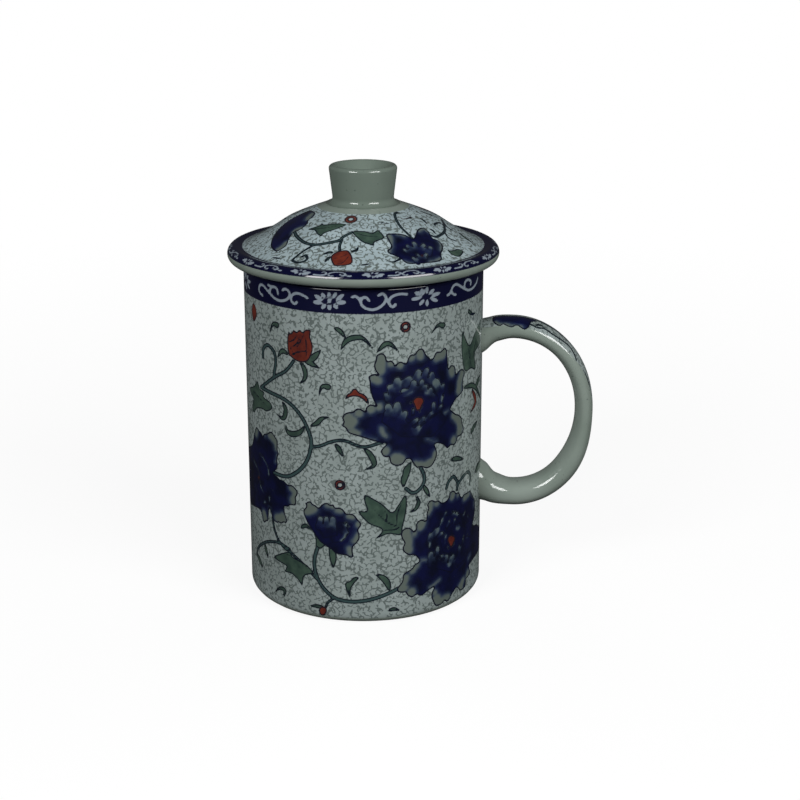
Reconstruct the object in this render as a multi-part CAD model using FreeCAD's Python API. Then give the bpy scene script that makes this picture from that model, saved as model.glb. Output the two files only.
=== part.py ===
import FreeCAD, Part
import math
import os

# Lidded porcelain tea mug with a lift-out infuser basket and a lift-off lid.
# Millimetres, +Z up. The origin is the centre of the plane that the foot ring rests on,
# the mug's axis is the Z axis, and the handle stands out along +X.

Vector = FreeCAD.Vector
AXIS_POINT = Vector(0, 0, 0)
UP = Vector(0, 0, 1)
SIDEWAYS = Vector(0, 1, 0)
SHARP = "sharp"
BEVEL = "bevel"
ROUND = "round"

# Mug body
mug_radius = 40.0
mug_height = 114.4
mug_wall = 3.8
mug_floor = 6.0
mug_base_rounding = 3.2
mug_well_rounding = 8.0
mug_lip_rounding = 1.2
foot_ring_width = 5.0
foot_recess = 1.6
foot_ring_bevel = 0.6

# Infuser basket
infuser_side_gap = 1.0
infuser_wall = 2.6
infuser_depth = 68.0
infuser_neck = 12.0
infuser_taper = 2.2
infuser_corner_rounding = 7.0
flange_thickness = 2.0
flange_setback = 0.8
flange_bevel = 0.6
hole_diameter = 3.0
floor_hole_pitch = 8.2
floor_hole_rings = 2
floor_holes_in_first_ring = 6
wall_hole_rows = 2
wall_holes_in_row = 12
wall_hole_row_pitch = 7.5
wall_hole_first_row = 12.0

# Lid
lid_edge_clearance = 1.1
lid_edge_thickness = 5.2
lid_edge_drop = 1.36
brim_flat = 2.5
brim_sink = 0.44
brim_rounding = 4.0
crown_radius = 12.4
crown_above_seat = 17.3
dome_shoulder_pull = 20.1
dome_shoulder_fall = 7.3
dome_skirt_pull = 18.0
dome_skirt_rise = 9.1
lid_wall = 3.5
collar_gap = 0.6
collar_wall = 2.8
collar_depth = 7.0
collar_bevel = 0.8

# Knob on the lid
knob_height = 12.7
knob_foot_radius = 12.2
knob_foot_edge = 0.2
knob_neck_radius = 9.9
knob_neck_rounding = 1.9
knob_lip_radius = 11.4
knob_lip_width = 1.75
knob_lip_outer_rounding = 1.2
knob_lip_inner_bevel = 0.4
knob_dish_depth = 4.5
knob_dish_floor_radius = 7.0
knob_dish_bevel = 1.2

# Handle: a flattened loop whose two roots are luted on the wall
handle_reach = 34.9
handle_upper_root_drop = 26.4
handle_lower_root_height = 37.5
handle_root_sink = 2.0
handle_root_tail = 6.0
handle_upper_lift = 10.3
handle_upper_run = 14.4
handle_lower_dip = 11.3
handle_lower_run = 15.0
handle_upper_fullness = 0.97
handle_lower_fullness = 1.08
handle_squareness = 2.3
handle_section_count = 19
handle_section_points = 16
# Along the loop from the upper root to the lower one: share of the length, thickness, width
handle_stations = [
    (0.00, 10.4, 15.2),
    (0.06, 8.0, 13.2),
    (0.12, 7.2, 12.6),
    (0.30, 6.4, 12.6),
    (0.50, 6.0, 12.6),
    (0.70, 8.0, 12.6),
    (0.88, 8.6, 12.6),
    (0.94, 9.8, 13.4),
    (1.00, 13.0, 15.6),
]

# Sizes that follow from the ones above
mug_inner_radius = mug_radius - mug_wall
seat_height = mug_height + flange_thickness
infuser_radius = mug_inner_radius - infuser_side_gap
infuser_inner_radius = infuser_radius - infuser_wall
infuser_bottom = mug_height - infuser_depth
infuser_bottom_radius = infuser_radius - infuser_taper
flange_radius = mug_radius - flange_setback
collar_radius = infuser_inner_radius - collar_gap
collar_inner_radius = collar_radius - collar_wall
lid_edge_radius = lid_edge_thickness / 2
lid_edge_height = seat_height + lid_edge_radius - lid_edge_drop
lid_edge_under = math.sqrt(lid_edge_radius ** 2 - (lid_edge_radius - lid_edge_drop) ** 2)
lid_edge_centre = flange_radius + lid_edge_clearance + lid_edge_under
brim_radius = lid_edge_centre - brim_flat
brim_height = lid_edge_height + lid_edge_radius - brim_sink
crown_height = seat_height + crown_above_seat


def at(radius, height):
    """A point of a turned section, in the XZ plane."""
    return Vector(radius, 0, height)


def worked_corner(before, corner, after, form, size):
    """Start, middle and finish of a corner. A bevel and a sharp corner have no middle."""
    back = (before - corner).normalize()
    onward = (after - corner).normalize()
    if form == SHARP:
        return corner, None, corner
    if form == BEVEL:
        return corner + back * size, None, corner + onward * size
    half_angle = back.getAngle(onward) / 2
    reach = size / math.tan(half_angle)
    bisector = (back + onward).normalize()
    middle = corner + bisector * (size / math.sin(half_angle) - size)
    return corner + back * reach, middle, corner + onward * reach


def section_face(corners):
    """Closed face in the XZ plane. Each corner is (radius, height, form, size)."""
    places = [at(corner[0], corner[1]) for corner in corners]
    worked = []
    for index, (_, _, form, size) in enumerate(corners):
        after = places[(index + 1) % len(places)]
        worked.append(worked_corner(places[index - 1], places[index], after, form, size))
    edges = []
    for index, (start, middle, finish) in enumerate(worked):
        if middle is not None:
            edges.append(Part.Arc(start, middle, finish).toShape())
        elif start != finish:
            edges.append(Part.LineSegment(start, finish).toShape())
        next_start = worked[(index + 1) % len(worked)][0]
        edges.append(Part.LineSegment(finish, next_start).toShape())
    return Part.Face(Part.Wire(edges))


def turned(section):
    """Solid of revolution of a section about the mug's axis."""
    return section.revolve(AXIS_POINT, UP, 360)


def straight_cylinder(radius, low, high):
    return Part.makeCylinder(radius, high - low, at(0, low), UP)


def make_mug_body():
    ring_outer = mug_radius - mug_base_rounding
    ring_inner = ring_outer - foot_ring_width
    return turned(section_face([
        (0, foot_recess, SHARP, 0),
        (ring_inner, foot_recess, BEVEL, foot_ring_bevel),
        (ring_inner, 0, BEVEL, foot_ring_bevel),
        (mug_radius, 0, ROUND, mug_base_rounding),
        (mug_radius, mug_height, ROUND, mug_lip_rounding),
        (mug_inner_radius, mug_height, ROUND, mug_lip_rounding),
        (mug_inner_radius, mug_floor, ROUND, mug_well_rounding),
        (0, mug_floor, SHARP, 0),
    ]))


def make_infuser_shell():
    neck_bottom = mug_height - infuser_neck
    inner_floor = infuser_bottom + infuser_wall
    inner_rounding = infuser_corner_rounding - infuser_wall
    return turned(section_face([
        (0, infuser_bottom, SHARP, 0),
        (infuser_bottom_radius, infuser_bottom, ROUND, infuser_corner_rounding),
        (infuser_radius, neck_bottom, SHARP, 0),
        (infuser_radius, mug_height, BEVEL, infuser_side_gap / 2),
        (flange_radius, mug_height, BEVEL, flange_bevel),
        (flange_radius, seat_height, BEVEL, flange_bevel),
        (infuser_inner_radius, seat_height, BEVEL, flange_bevel),
        (infuser_inner_radius, neck_bottom, SHARP, 0),
        (infuser_bottom_radius - infuser_wall, inner_floor, ROUND, inner_rounding),
        (0, inner_floor, SHARP, 0),
    ]))


def make_floor_holes():
    """Rings of upright holes through the infuser's floor, with one hole in the middle."""
    low = infuser_bottom - infuser_wall
    high = infuser_bottom + 2 * infuser_wall
    middle = straight_cylinder(hole_diameter / 2, low, high)
    holes = [middle]
    for ring in range(1, floor_hole_rings + 1):
        count = floor_holes_in_first_ring * ring
        for index in range(count):
            turn = math.radians(360 * index / count)
            hole = middle.copy()
            ring_radius = ring * floor_hole_pitch
            hole.translate(Vector(ring_radius * math.cos(turn), ring_radius * math.sin(turn), 0))
            holes.append(hole)
    return holes


def make_wall_holes():
    """Staggered rows of level holes round the lower wall of the infuser."""
    holes = []
    inside = infuser_bottom_radius - 2 * infuser_wall
    length = infuser_radius + infuser_wall - inside
    for row in range(wall_hole_rows):
        height = infuser_bottom + wall_hole_first_row + row * wall_hole_row_pitch
        for index in range(wall_holes_in_row):
            turn = math.radians(360 * (index + row / 2) / wall_holes_in_row)
            outward = Vector(math.cos(turn), math.sin(turn), 0)
            start = outward * inside + Vector(0, 0, height)
            holes.append(Part.makeCylinder(hole_diameter / 2, length, start, outward))
    return holes


def make_infuser():
    return make_infuser_shell().cut(Part.Compound(make_floor_holes() + make_wall_holes()))


def make_lid_block():
    """The lid's outside, solid down to the plane that sits on the infuser's flange."""
    edge_centre = at(lid_edge_centre, lid_edge_height)
    brim = at(brim_radius, brim_height)
    crown = at(crown_radius, crown_height)
    dome = Part.BezierCurve()
    dome.setPoles([
        crown,
        crown + at(dome_shoulder_pull, -dome_shoulder_fall),
        brim + at(-dome_skirt_pull, dome_skirt_rise),
        brim,
    ])
    # The brim runs straight into the top of the round edge, tangent to it
    span = edge_centre - brim
    rise = math.atan2(span.z, span.x) + math.asin(lid_edge_radius / span.Length)
    edge_top = edge_centre + at(-math.sin(rise), math.cos(rise)) * lid_edge_radius
    edge_outside = edge_centre + at(lid_edge_radius, 0)
    edge_under = at(lid_edge_centre - lid_edge_under, seat_height)
    section = Part.Face(Part.Wire([
        Part.LineSegment(at(0, crown_height), crown).toShape(),
        dome.toShape(),
        Part.LineSegment(brim, edge_top).toShape(),
        Part.Arc(edge_top, edge_outside, edge_under).toShape(),
        Part.LineSegment(edge_under, at(0, seat_height)).toShape(),
        Part.LineSegment(at(0, seat_height), at(0, crown_height)).toShape(),
    ]))
    return turned(section)


def circle_edges(solid, radius, height):
    """Edges of a turned solid that lie on one circle."""
    near = 0.01
    found = []
    for edge in solid.Edges:
        box = edge.BoundBox
        level = abs(box.ZMin - height) < near and abs(box.ZMax - height) < near
        if level and abs(box.XMax - radius) < near:
            found.append(edge)
    return found


def make_lid():
    block = make_lid_block()
    skin = block.makeFillet(brim_rounding, circle_edges(block, brim_radius, brim_height))
    collar_low = seat_height - collar_depth
    collar_top = seat_height + lid_wall / 2
    collar = turned(section_face([
        (collar_inner_radius, collar_low, BEVEL, collar_bevel),
        (collar_radius, collar_low, BEVEL, collar_bevel),
        (collar_radius, collar_top, SHARP, 0),
        (collar_inner_radius, collar_top, SHARP, 0),
    ]))
    lowered = skin.copy()
    lowered.translate(Vector(0, 0, -lid_wall))
    bore = straight_cylinder(collar_inner_radius, collar_low, crown_height)
    hollow = lowered.common(bore)
    return skin.fuse(collar).cut(hollow).removeSplitter()


def make_knob():
    foot_top = crown_height + knob_foot_edge
    top = crown_height + knob_height
    dish_floor = top - knob_dish_depth
    return turned(section_face([
        (0, crown_height, SHARP, 0),
        (knob_foot_radius, crown_height, SHARP, 0),
        (knob_foot_radius, foot_top, SHARP, 0),
        (knob_neck_radius, foot_top, ROUND, knob_neck_rounding),
        (knob_lip_radius, top, ROUND, knob_lip_outer_rounding),
        (knob_lip_radius - knob_lip_width, top, BEVEL, knob_lip_inner_bevel),
        (knob_dish_floor_radius, dish_floor, BEVEL, knob_dish_bevel),
        (0, dish_floor, SHARP, 0),
    ]))


def handle_halves():
    """The handle's centreline: one curve from the upper root to the far side, one back down."""
    root_radius = mug_radius - handle_root_sink
    upper_root = at(root_radius, mug_height - handle_upper_root_drop)
    lower_root = at(root_radius, handle_lower_root_height)
    half_span = (upper_root.z - lower_root.z) / 2
    far = at(mug_radius + handle_reach, lower_root.z + half_span)
    upper = Part.BezierCurve()
    upper.setPoles([
        upper_root,
        upper_root + at(handle_upper_run, handle_upper_lift),
        far + at(0, handle_upper_fullness * half_span),
        far,
    ])
    lower = Part.BezierCurve()
    lower.setPoles([
        far,
        far + at(0, -handle_lower_fullness * half_span),
        lower_root + at(handle_lower_run, -handle_lower_dip),
        lower_root,
    ])
    return upper, lower


def handle_size(share):
    """Thickness and width of the handle at a share of its centreline."""
    for before, after in zip(handle_stations, handle_stations[1:]):
        if share <= after[0]:
            blend = (share - before[0]) / (after[0] - before[0])
            ease = blend * blend * (3 - 2 * blend)
            thickness = before[1] + ease * (after[1] - before[1])
            width = before[2] + ease * (after[2] - before[2])
            return thickness, width
    return handle_stations[-1][1:]


def squared_ellipse(centre, tangent, thickness, width):
    """Closed curve square to the tangent, flatter-sided than an ellipse."""
    outward = tangent.cross(SIDEWAYS)
    power = 2 / handle_squareness
    points = []
    for index in range(handle_section_points):
        turn = 2 * math.pi * index / handle_section_points
        along = math.copysign(abs(math.cos(turn)) ** power, math.cos(turn))
        across = math.copysign(abs(math.sin(turn)) ** power, math.sin(turn))
        points.append(centre + outward * (along * thickness / 2) + SIDEWAYS * (across * width / 2))
    curve = Part.BSplineCurve()
    curve.interpolate(Points=points, PeriodicFlag=True)
    return Part.Wire(curve.toShape())


def make_handle():
    """A lofted loop with both tails run into the wall, then cut to the wall's curve."""
    upper, lower = handle_halves()
    upper_length = upper.length()
    total_length = upper_length + lower.length()
    frames = []
    for index in range(handle_section_count):
        share = index / (handle_section_count - 1)
        distance = share * total_length
        half = upper
        if distance > upper_length:
            half = lower
            distance -= upper_length
        place = half.parameterAtDistance(distance, 0)
        frames.append((half.value(place), half.tangent(place)[0], handle_size(share)))
    first_point, first_tangent, first_size = frames[0]
    last_point, last_tangent, last_size = frames[-1]
    frames.insert(0, (first_point - first_tangent * handle_root_tail, first_tangent, first_size))
    frames.append((last_point + last_tangent * handle_root_tail, last_tangent, last_size))
    sections = [squared_ellipse(point, tangent, *size) for point, tangent, size in frames]
    mug_outside = straight_cylinder(mug_radius, 0, mug_height)
    mug_outside.rotate(AXIS_POINT, UP, 180)
    return Part.makeLoft(sections, True, False).cut(mug_outside)


nodes = {
    "mug_body": make_mug_body(),
    "mug_handle": make_handle(),
    "infuser": make_infuser(),
    "lid": make_lid(),
    "lid_knob": make_knob(),
}

os.makedirs("parts", exist_ok=True)
for name, shape in nodes.items():
    shape.exportStep(os.path.join("parts", name + ".step"))
    print(name, "solids", len(shape.Solids), "valid", shape.isValid(), "cm3", round(shape.Volume / 1000, 2))
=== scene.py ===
import math
import bpy
import numpy as np
from mathutils import Matrix, Vector


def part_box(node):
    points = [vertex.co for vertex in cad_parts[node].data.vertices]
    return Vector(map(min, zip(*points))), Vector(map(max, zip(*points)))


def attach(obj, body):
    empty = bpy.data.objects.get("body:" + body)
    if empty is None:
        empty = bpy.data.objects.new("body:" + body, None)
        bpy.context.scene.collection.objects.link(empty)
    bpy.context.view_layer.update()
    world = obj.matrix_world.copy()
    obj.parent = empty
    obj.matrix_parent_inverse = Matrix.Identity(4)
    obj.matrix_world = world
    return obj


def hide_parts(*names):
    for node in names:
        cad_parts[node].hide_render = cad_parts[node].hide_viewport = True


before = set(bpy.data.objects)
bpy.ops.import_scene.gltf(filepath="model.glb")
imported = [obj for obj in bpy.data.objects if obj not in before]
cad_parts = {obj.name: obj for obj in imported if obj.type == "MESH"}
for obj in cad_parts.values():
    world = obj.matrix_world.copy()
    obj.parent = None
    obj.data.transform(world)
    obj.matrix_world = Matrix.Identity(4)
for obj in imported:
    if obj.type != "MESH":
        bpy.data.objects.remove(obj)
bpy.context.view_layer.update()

# Sizes in millimetres, first those read from the frame
MM = 0.001
PHOTO_SIZE = 800
FAR = 4.0


def node_box(node):
    """Lowest and highest corner of a CAD node, in millimetres."""
    low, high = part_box(node)
    return np.array(low) / MM, np.array(high) / MM


mug_low, mug_high = node_box("mug_body")
flange_high = node_box("infuser")[1]
lid_low, lid_high = node_box("lid")
knob_low, knob_high = node_box("lid_knob")

# Mug body
mug_radius = float(mug_high[0])
mug_height = float(mug_high[2])
mug_wall = 3.8
mug_floor = 6.0
mug_base_rounding = 3.2
mug_well_rounding = 8.0
mug_lip_rounding = 1.2
foot_ring_width = 5.0
foot_recess = 1.6
foot_rounding = 0.6
mug_columns = 384
wall_step = 0.6

# Handle
handle_reach = 34.9
handle_upper_root_drop = 26.4
handle_lower_root_height = 37.5
handle_root_sink = 2.0
handle_root_tail = 6.0
handle_upper_pull = (14.4, 10.3)
handle_upper_fullness = 0.97
handle_lower_pull = (15.0, -11.3)
handle_lower_fullness = 1.08
handle_squareness = 2.3
handle_bury = 0.4
# Half the girth of the section, as a share of its thickness and width together
handle_girth = 0.86
handle_columns = 64
handle_rings = 200
# Share of the length, thickness, width
handle_stations = (
    (0.00, 10.4, 15.2), (0.06, 8.0, 13.2), (0.12, 7.2, 12.6), (0.30, 6.4, 12.6), (0.50, 6.0, 12.6),
    (0.70, 8.0, 12.6), (0.88, 8.6, 12.6), (0.94, 9.8, 13.4), (1.00, 13.0, 15.6),
)

# Lid
seat_height = float(flange_high[2])
crown_height = float(lid_high[2])
lid_radius = float(lid_high[0])
lid_edge_radius = 2.6
lid_edge_cut = 1.36
lid_edge_height = seat_height + lid_edge_radius - lid_edge_cut
lid_edge_centre = lid_radius - lid_edge_radius
brim_to_edge = 2.5
brim_radius = lid_edge_centre - brim_to_edge
brim_drop = 0.44
brim_height = lid_edge_height + lid_edge_radius - brim_drop
brim_rounding = 0.95
crown_radius = 12.4
dome_poles = ((20.1, -7.3), (-18.0, 9.1))
lid_wall = 3.5
collar_inner_radius = 29.2
collar_radius = 32.0
collar_low = float(lid_low[2])
collar_rounding = 0.8
lid_columns = 560
lid_step = 0.5

# Camera of the photograph
camera_place = Vector((28.28, -539.69, 235.84)) * MM
camera_yaw = math.radians(-1.712)
camera_pitch = math.radians(17.515)
focal_pixels = 1654.3
front_azimuth = math.radians(-87.0)
# Where a ray may meet the lid: nearest and furthest distance, and how many are tried
lid_ray = (480, 660, 1800)

forward = Vector((
    math.sin(camera_yaw) * math.cos(camera_pitch),
    math.cos(camera_yaw) * math.cos(camera_pitch),
    -math.sin(camera_pitch),
))
rightward = Vector((math.cos(camera_yaw), -math.sin(camera_yaw), 0))
upward = rightward.cross(forward)


def make_camera():
    data = bpy.data.cameras.new("photo_camera")
    data.sensor_width = 36
    data.lens = focal_pixels * data.sensor_width / PHOTO_SIZE
    camera = bpy.data.objects.new("photo_camera", data)
    bpy.context.scene.collection.objects.link(camera)
    axes = Matrix((rightward, upward, -forward)).transposed()
    camera.matrix_world = Matrix.Translation(camera_place) @ axes.to_4x4()
    bpy.context.scene.camera = camera


def photo_ray(x, y):
    """Where the camera is and which way it looks through a point of the photograph, in millimetres."""
    half = PHOTO_SIZE / 2
    ray = forward + rightward * ((x - half) / focal_pixels) + upward * ((half - y) / focal_pixels)
    return np.array(camera_place) / MM, np.array(ray)


def on_wall(point):
    """A point of the photograph on the mug's wall: millimetres round from the front, height.

    Points just outside the silhouette land on the hidden side, as far past the edge as their mirror images.
    """
    place, ray = photo_ray(*point)
    a = ray[0] ** 2 + ray[1] ** 2
    b = place[0] * ray[0] + place[1] * ray[1]
    c = place[0] ** 2 + place[1] ** 2 - mug_radius ** 2
    bend = b * b - a * c
    distance = (-b - math.sqrt(max(bend, 0))) / a
    hit = place + ray * distance
    turn = math.atan2(hit[1], hit[0]) - front_azimuth
    beyond = math.hypot(hit[0], hit[1]) - mug_radius
    if bend < 0:
        turn += math.copysign(math.sqrt(2 * beyond / mug_radius), turn)
    return mug_radius * turn, hit[2]


def on_lid(point):
    """A point of the photograph on the lid's top, in plan."""
    place, ray = photo_ray(*point)
    distances = np.linspace(*lid_ray)
    hits = place + ray * distances[:, None]
    radii = np.hypot(hits[:, 0], hits[:, 1])
    above = hits[:, 2] - np.interp(radii, lid_top[:, 0], lid_top[:, 1], right=0)
    index = int(np.argmax(above < 0))
    return hits[index][0], hits[index][1]


# Turned meshes

def rounded(before, corner, after, radius, pieces=6):
    """The points of a corner rounded by an arc."""
    back = (before - corner) / np.linalg.norm(before - corner)
    onward = (after - corner) / np.linalg.norm(after - corner)
    half = math.acos(float(np.clip(back @ onward, -1, 1))) / 2
    reach = radius / math.tan(half)
    bisector = (back + onward) / np.linalg.norm(back + onward)
    centre = corner + bisector * radius / math.sin(half)
    start = corner + back * reach - centre
    finish = corner + onward * reach - centre
    sweep = math.pi - 2 * half
    turns = np.linspace(0, 1, pieces + 1)[:, None] * sweep
    return centre + (start * np.sin(sweep - turns) + finish * np.sin(turns)) / math.sin(sweep)


def section(corners):
    """An open section as points. Each corner is (radius, height, rounding)."""
    places = [np.array(corner[:2], float) for corner in corners]
    points = [places[0]]
    for index in range(1, len(corners) - 1):
        rounding = corners[index][2]
        if rounding:
            points.extend(rounded(places[index - 1], places[index], places[index + 1], rounding))
        else:
            points.append(places[index])
    points.append(places[-1])
    return np.array(points)


def with_rows(points, fine_step, is_fine, support=0.4, coarse_step=9.0):
    """More points along a section: close together where it is printed, and near the ends of long runs."""
    rows = [points[0]]
    for start, finish in zip(points, points[1:]):
        length = float(np.linalg.norm(finish - start))
        if is_fine(start) and is_fine(finish):
            count = max(1, round(length / fine_step))
            shares = [index / count for index in range(1, count + 1)]
        elif length > 4 * support:
            count = max(1, round(length / coarse_step))
            shares = [support / length]
            shares += [index / count for index in range(1, count)]
            shares += [1 - support / length, 1]
        else:
            shares = [1]
        rows.extend(start + (finish - start) * share for share in shares)
    return np.array(rows)


def new_piece(name, points, faces):
    mesh = bpy.data.meshes.new(name)
    mesh.from_pydata((np.asarray(points) * MM).tolist(), [], faces)
    mesh.update()
    mesh.shade_smooth()
    piece = bpy.data.objects.new(name, mesh)
    bpy.context.scene.collection.objects.link(piece)
    return piece


def ring_faces(rings, corner, onward):
    """Quads between rings of points, each from its corner on to the next point of its ring."""
    starts = np.arange(rings - 1)[:, None] * len(corner)
    low, high = (starts + row for row in (0, len(corner)))
    return np.stack([low + corner, low + onward, high + onward, high + corner], 2).reshape(-1, 4).tolist()


def turned_piece(name, rows, columns):
    """A closed surface of revolution. The section starts and ends on the axis."""
    rings = rows[1:-1]
    turns = 2 * math.pi * np.arange(columns) / columns
    x = rings[:, 0, None] * np.cos(turns)
    y = rings[:, 0, None] * np.sin(turns)
    z = np.broadcast_to(rings[:, 1, None], x.shape)
    points = np.stack([x, y, z], 2).reshape(-1, 3)
    points = np.vstack([points, [0, 0, rows[0][1]], [0, 0, rows[-1][1]]])
    corner = np.arange(columns)
    onward = np.roll(corner, -1)
    faces = ring_faces(len(rings), corner, onward)
    last = (len(rings) - 1) * columns
    first_pole = len(rings) * columns
    faces.extend([first_pole, int(b), int(a)] for a, b in zip(corner, onward))
    faces.extend([first_pole + 1, int(last + a), int(last + b)] for a, b in zip(corner, onward))
    return new_piece(name, points, faces), points


def mug_section():
    ring_outer = mug_radius - mug_base_rounding
    ring_inner = ring_outer - foot_ring_width
    inner_radius = mug_radius - mug_wall
    return section([
        (0, foot_recess, 0),
        (ring_inner, foot_recess, foot_rounding),
        (ring_inner, 0, foot_rounding),
        (mug_radius, 0, mug_base_rounding),
        (mug_radius, mug_height, mug_lip_rounding),
        (inner_radius, mug_height, mug_lip_rounding),
        (inner_radius, mug_floor, mug_well_rounding),
        (0, mug_floor, 0),
    ])


def bezier(poles, count):
    """Points along a cubic curve with four poles."""
    t = np.linspace(0, 1, count)[:, None]
    a, b, c, d = np.asarray(poles, float)
    return a * (1 - t) ** 3 + 3 * b * t * (1 - t) ** 2 + 3 * c * t ** 2 * (1 - t) + d * t ** 3


def dome_curve(pieces=60):
    """The lid's dome from the crown to the brim."""
    crown = np.array([crown_radius, crown_height])
    brim = np.array([brim_radius, brim_height])
    return bezier([crown, crown + dome_poles[0], brim + dome_poles[1], brim], pieces + 1)


def lid_top_section():
    """The lid's outside, from the axis over the dome and the brim to the seat."""
    dome = dome_curve()
    brim = dome[-1]
    centre = np.array([lid_edge_centre, lid_edge_height])
    span = centre - brim
    rise = math.atan2(span[1], span[0]) + math.asin(lid_edge_radius / np.linalg.norm(span))
    low_turn = -math.acos((lid_edge_height - seat_height) / lid_edge_radius)
    first_turn = math.pi / 2 + rise
    last_turn = -math.pi / 2 + low_turn
    turns = np.linspace(first_turn, last_turn, 25)[:, None]
    edge = centre + lid_edge_radius * np.hstack([np.cos(turns), np.sin(turns)])
    blend = brim_rounding
    run = np.linalg.norm(dome - brim, axis=1)
    kept = dome[run > blend]
    start = brim + (dome[-2] - brim) / np.linalg.norm(dome[-2] - brim) * blend
    finish = brim + (edge[0] - brim) / np.linalg.norm(edge[0] - brim) * blend
    t = np.linspace(0, 1, 5)[:, None]
    corner = start * (1 - t) ** 2 + 2 * brim * t * (1 - t) + finish * t ** 2
    return np.vstack([[0, crown_height], kept, corner, edge])


lid_top = lid_top_section()


def lid_under_section():
    """The lid's underside, from the seat round the collar and up into the hollow."""
    lowered = dome_curve(20) - [0, lid_wall]
    hollow = lowered[lowered[:, 0] < collar_inner_radius][::-1]
    mouth = np.interp(collar_inner_radius, lowered[:, 0], lowered[:, 1])
    collar = section([
        (lid_top[-1][0], seat_height, 0),
        (collar_radius, seat_height, 0),
        (collar_radius, collar_low, collar_rounding),
        (collar_inner_radius, collar_low, collar_rounding),
        (collar_inner_radius, mouth, 0),
    ])
    return np.vstack([collar[1:], hollow, [0, crown_height - lid_wall]])


# Print fields: signed distances in millimetres, negative inside a drawn shape

def smooth_line(points, closed=False, pieces=4):
    """A smooth line through the points."""
    points = np.asarray(points, float)
    if closed:
        around = np.vstack([points[-1:], points, points[:2]])
    else:
        around = np.vstack([2 * points[0] - points[1], points, 2 * points[-1] - points[-2]])
    before, start, end, after = around[:-3], around[1:-2], around[2:-1], around[3:]
    t = np.linspace(0, 1, pieces, endpoint=False)[:, None, None]
    bend = 2 * before - 5 * start + 4 * end - after
    twist = 3 * start - before - 3 * end + after
    curve = start + 0.5 * ((end - before) * t + bend * t ** 2 + twist * t ** 3)
    line = curve.transpose(1, 0, 2).reshape(-1, 2)
    if closed:
        return line
    return np.vstack([line, points[-1:]])


def to_segments(spots, starts, ends):
    """Distance from each spot to each segment, and how far along the segment the nearest place is."""
    along = ends - starts
    offset = spots[:, None] - starts[None]
    share = np.clip((offset * along).sum(2) / np.maximum((along ** 2).sum(1), 1e-9), 0, 1)
    nearest = offset - share[..., None] * along
    return np.hypot(nearest[..., 0], nearest[..., 1]), share


def outline_distance(spots, corners):
    ends = np.roll(corners, -1, 0)
    distance = to_segments(spots, corners, ends)[0].min(1)
    low = spots[:, None, 1]
    crosses = (corners[:, 1] > low) != (ends[:, 1] > low)
    rise = np.where(ends[:, 1] == corners[:, 1], 1e-9, ends[:, 1] - corners[:, 1])
    where = corners[:, 0] + (low - corners[:, 1]) * (ends[:, 0] - corners[:, 0]) / rise
    inside = (crosses & (spots[:, None, 0] < where)).sum(1) % 2 == 1
    return np.where(inside, -distance, distance)


def stroke_distance(spots, line, half_widths):
    distance, share = to_segments(spots, line[:-1], line[1:])
    widths = half_widths[:-1] + (half_widths[1:] - half_widths[:-1]) * share
    return (distance - widths).min(1)


class Canvas:
    """The print's fields at a surface's points."""

    def __init__(self, spots, offsets):
        self.spots = spots
        self.offsets = offsets
        self.fields = {layer: np.full(len(spots), FAR) for layer in LAYERS}

    def draw(self, layer, points, measure, room=2.0):
        """Adds a shape to a layer. measure(spots, points) is worked out only near the points."""
        points = np.asarray(points, float)
        middle = (points.min(0) + points.max(0)) / 2
        reach = (points.max(0) - points.min(0)) / 2 + room
        offset = self.offsets(self.spots, middle)
        near = np.nonzero((np.abs(offset) < reach).all(1))[0]
        if len(near):
            found = measure(offset[near], points - middle)
            self.fields[layer][near] = np.minimum(self.fields[layer][near], found)

    def outline(self, layer, points):
        self.draw(layer, smooth_line(points, closed=True), outline_distance)

    def stroke(self, layer, points, half_width, taper="even"):
        line = smooth_line(points, pieces=6)
        t = np.linspace(0, 1, len(line))
        shape = {
            "even": np.ones(len(line)),
            "leaf": np.sin(math.pi * t ** 0.8) ** 0.8,
            "comma": (1 - t) ** 0.8,
        }[taper]
        widths = half_width * shape
        self.draw(layer, line, lambda spots, path: stroke_distance(spots, path, widths), 2 + half_width)

    def brush(self, layer, points, half_widths):
        """A stroke whose half width is given at each point."""
        if len(points) == 1:
            points, half_widths = [points[0], points[0] + 0.01], half_widths * 2
        line = smooth_line(points)
        widths = np.interp(np.linspace(0, 1, len(line)), np.linspace(0, 1, len(points)), half_widths)
        self.draw(layer, line, lambda spots, path: stroke_distance(spots, path, widths), 2 + max(widths))

    def tip(self, layer, top, root, half_width):
        """A rounded petal tip, whose value also rises steadily from its top toward its root."""
        def measure(spots, ends):
            along = ends[1] - ends[0]
            length = np.linalg.norm(along)
            depth = ((spots - ends[0]) @ along / length + half_width) / length
            beside = stroke_distance(spots, ends, np.array([half_width, half_width]))
            return np.maximum(beside, 0.75 * depth - 0.2)
        self.draw(layer, [top, root], measure, 2 + half_width)

    def ring(self, layer, centre, radius, half_width):
        def measure(spots, centres):
            return np.abs(np.hypot(*(spots - centres[0]).T) - radius) - half_width
        self.draw(layer, [centre], measure, 2 + radius)


ROWS = 4
LAYERS = ("decal", "band", "scroll", "vine", "leaf", "red", "ink")
LAYERS += tuple("%s_%d" % (kind, row) for kind in ("petal", "pale") for row in range(ROWS))


def store(piece, canvas, rows):
    """Puts the fields on the mesh. Points that aren't printed stay far outside every shape."""
    for layer, field in canvas.fields.items():
        values = np.full(len(piece.data.vertices), FAR, np.float32)
        values[rows] = field
        attribute = piece.data.attributes.new(layer, "FLOAT", "POINT")
        attribute.data.foreach_set("value", values)


# Glazes

def tint(red, green, blue):
    """A colour written as 0 to 255 on screen, as the shaders take it."""
    levels = [level / 255 for level in (red, green, blue)]
    return [((level + 0.055) / 1.055) ** 2.4 if level > 0.04 else level / 12.92 for level in levels] + [1]


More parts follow.
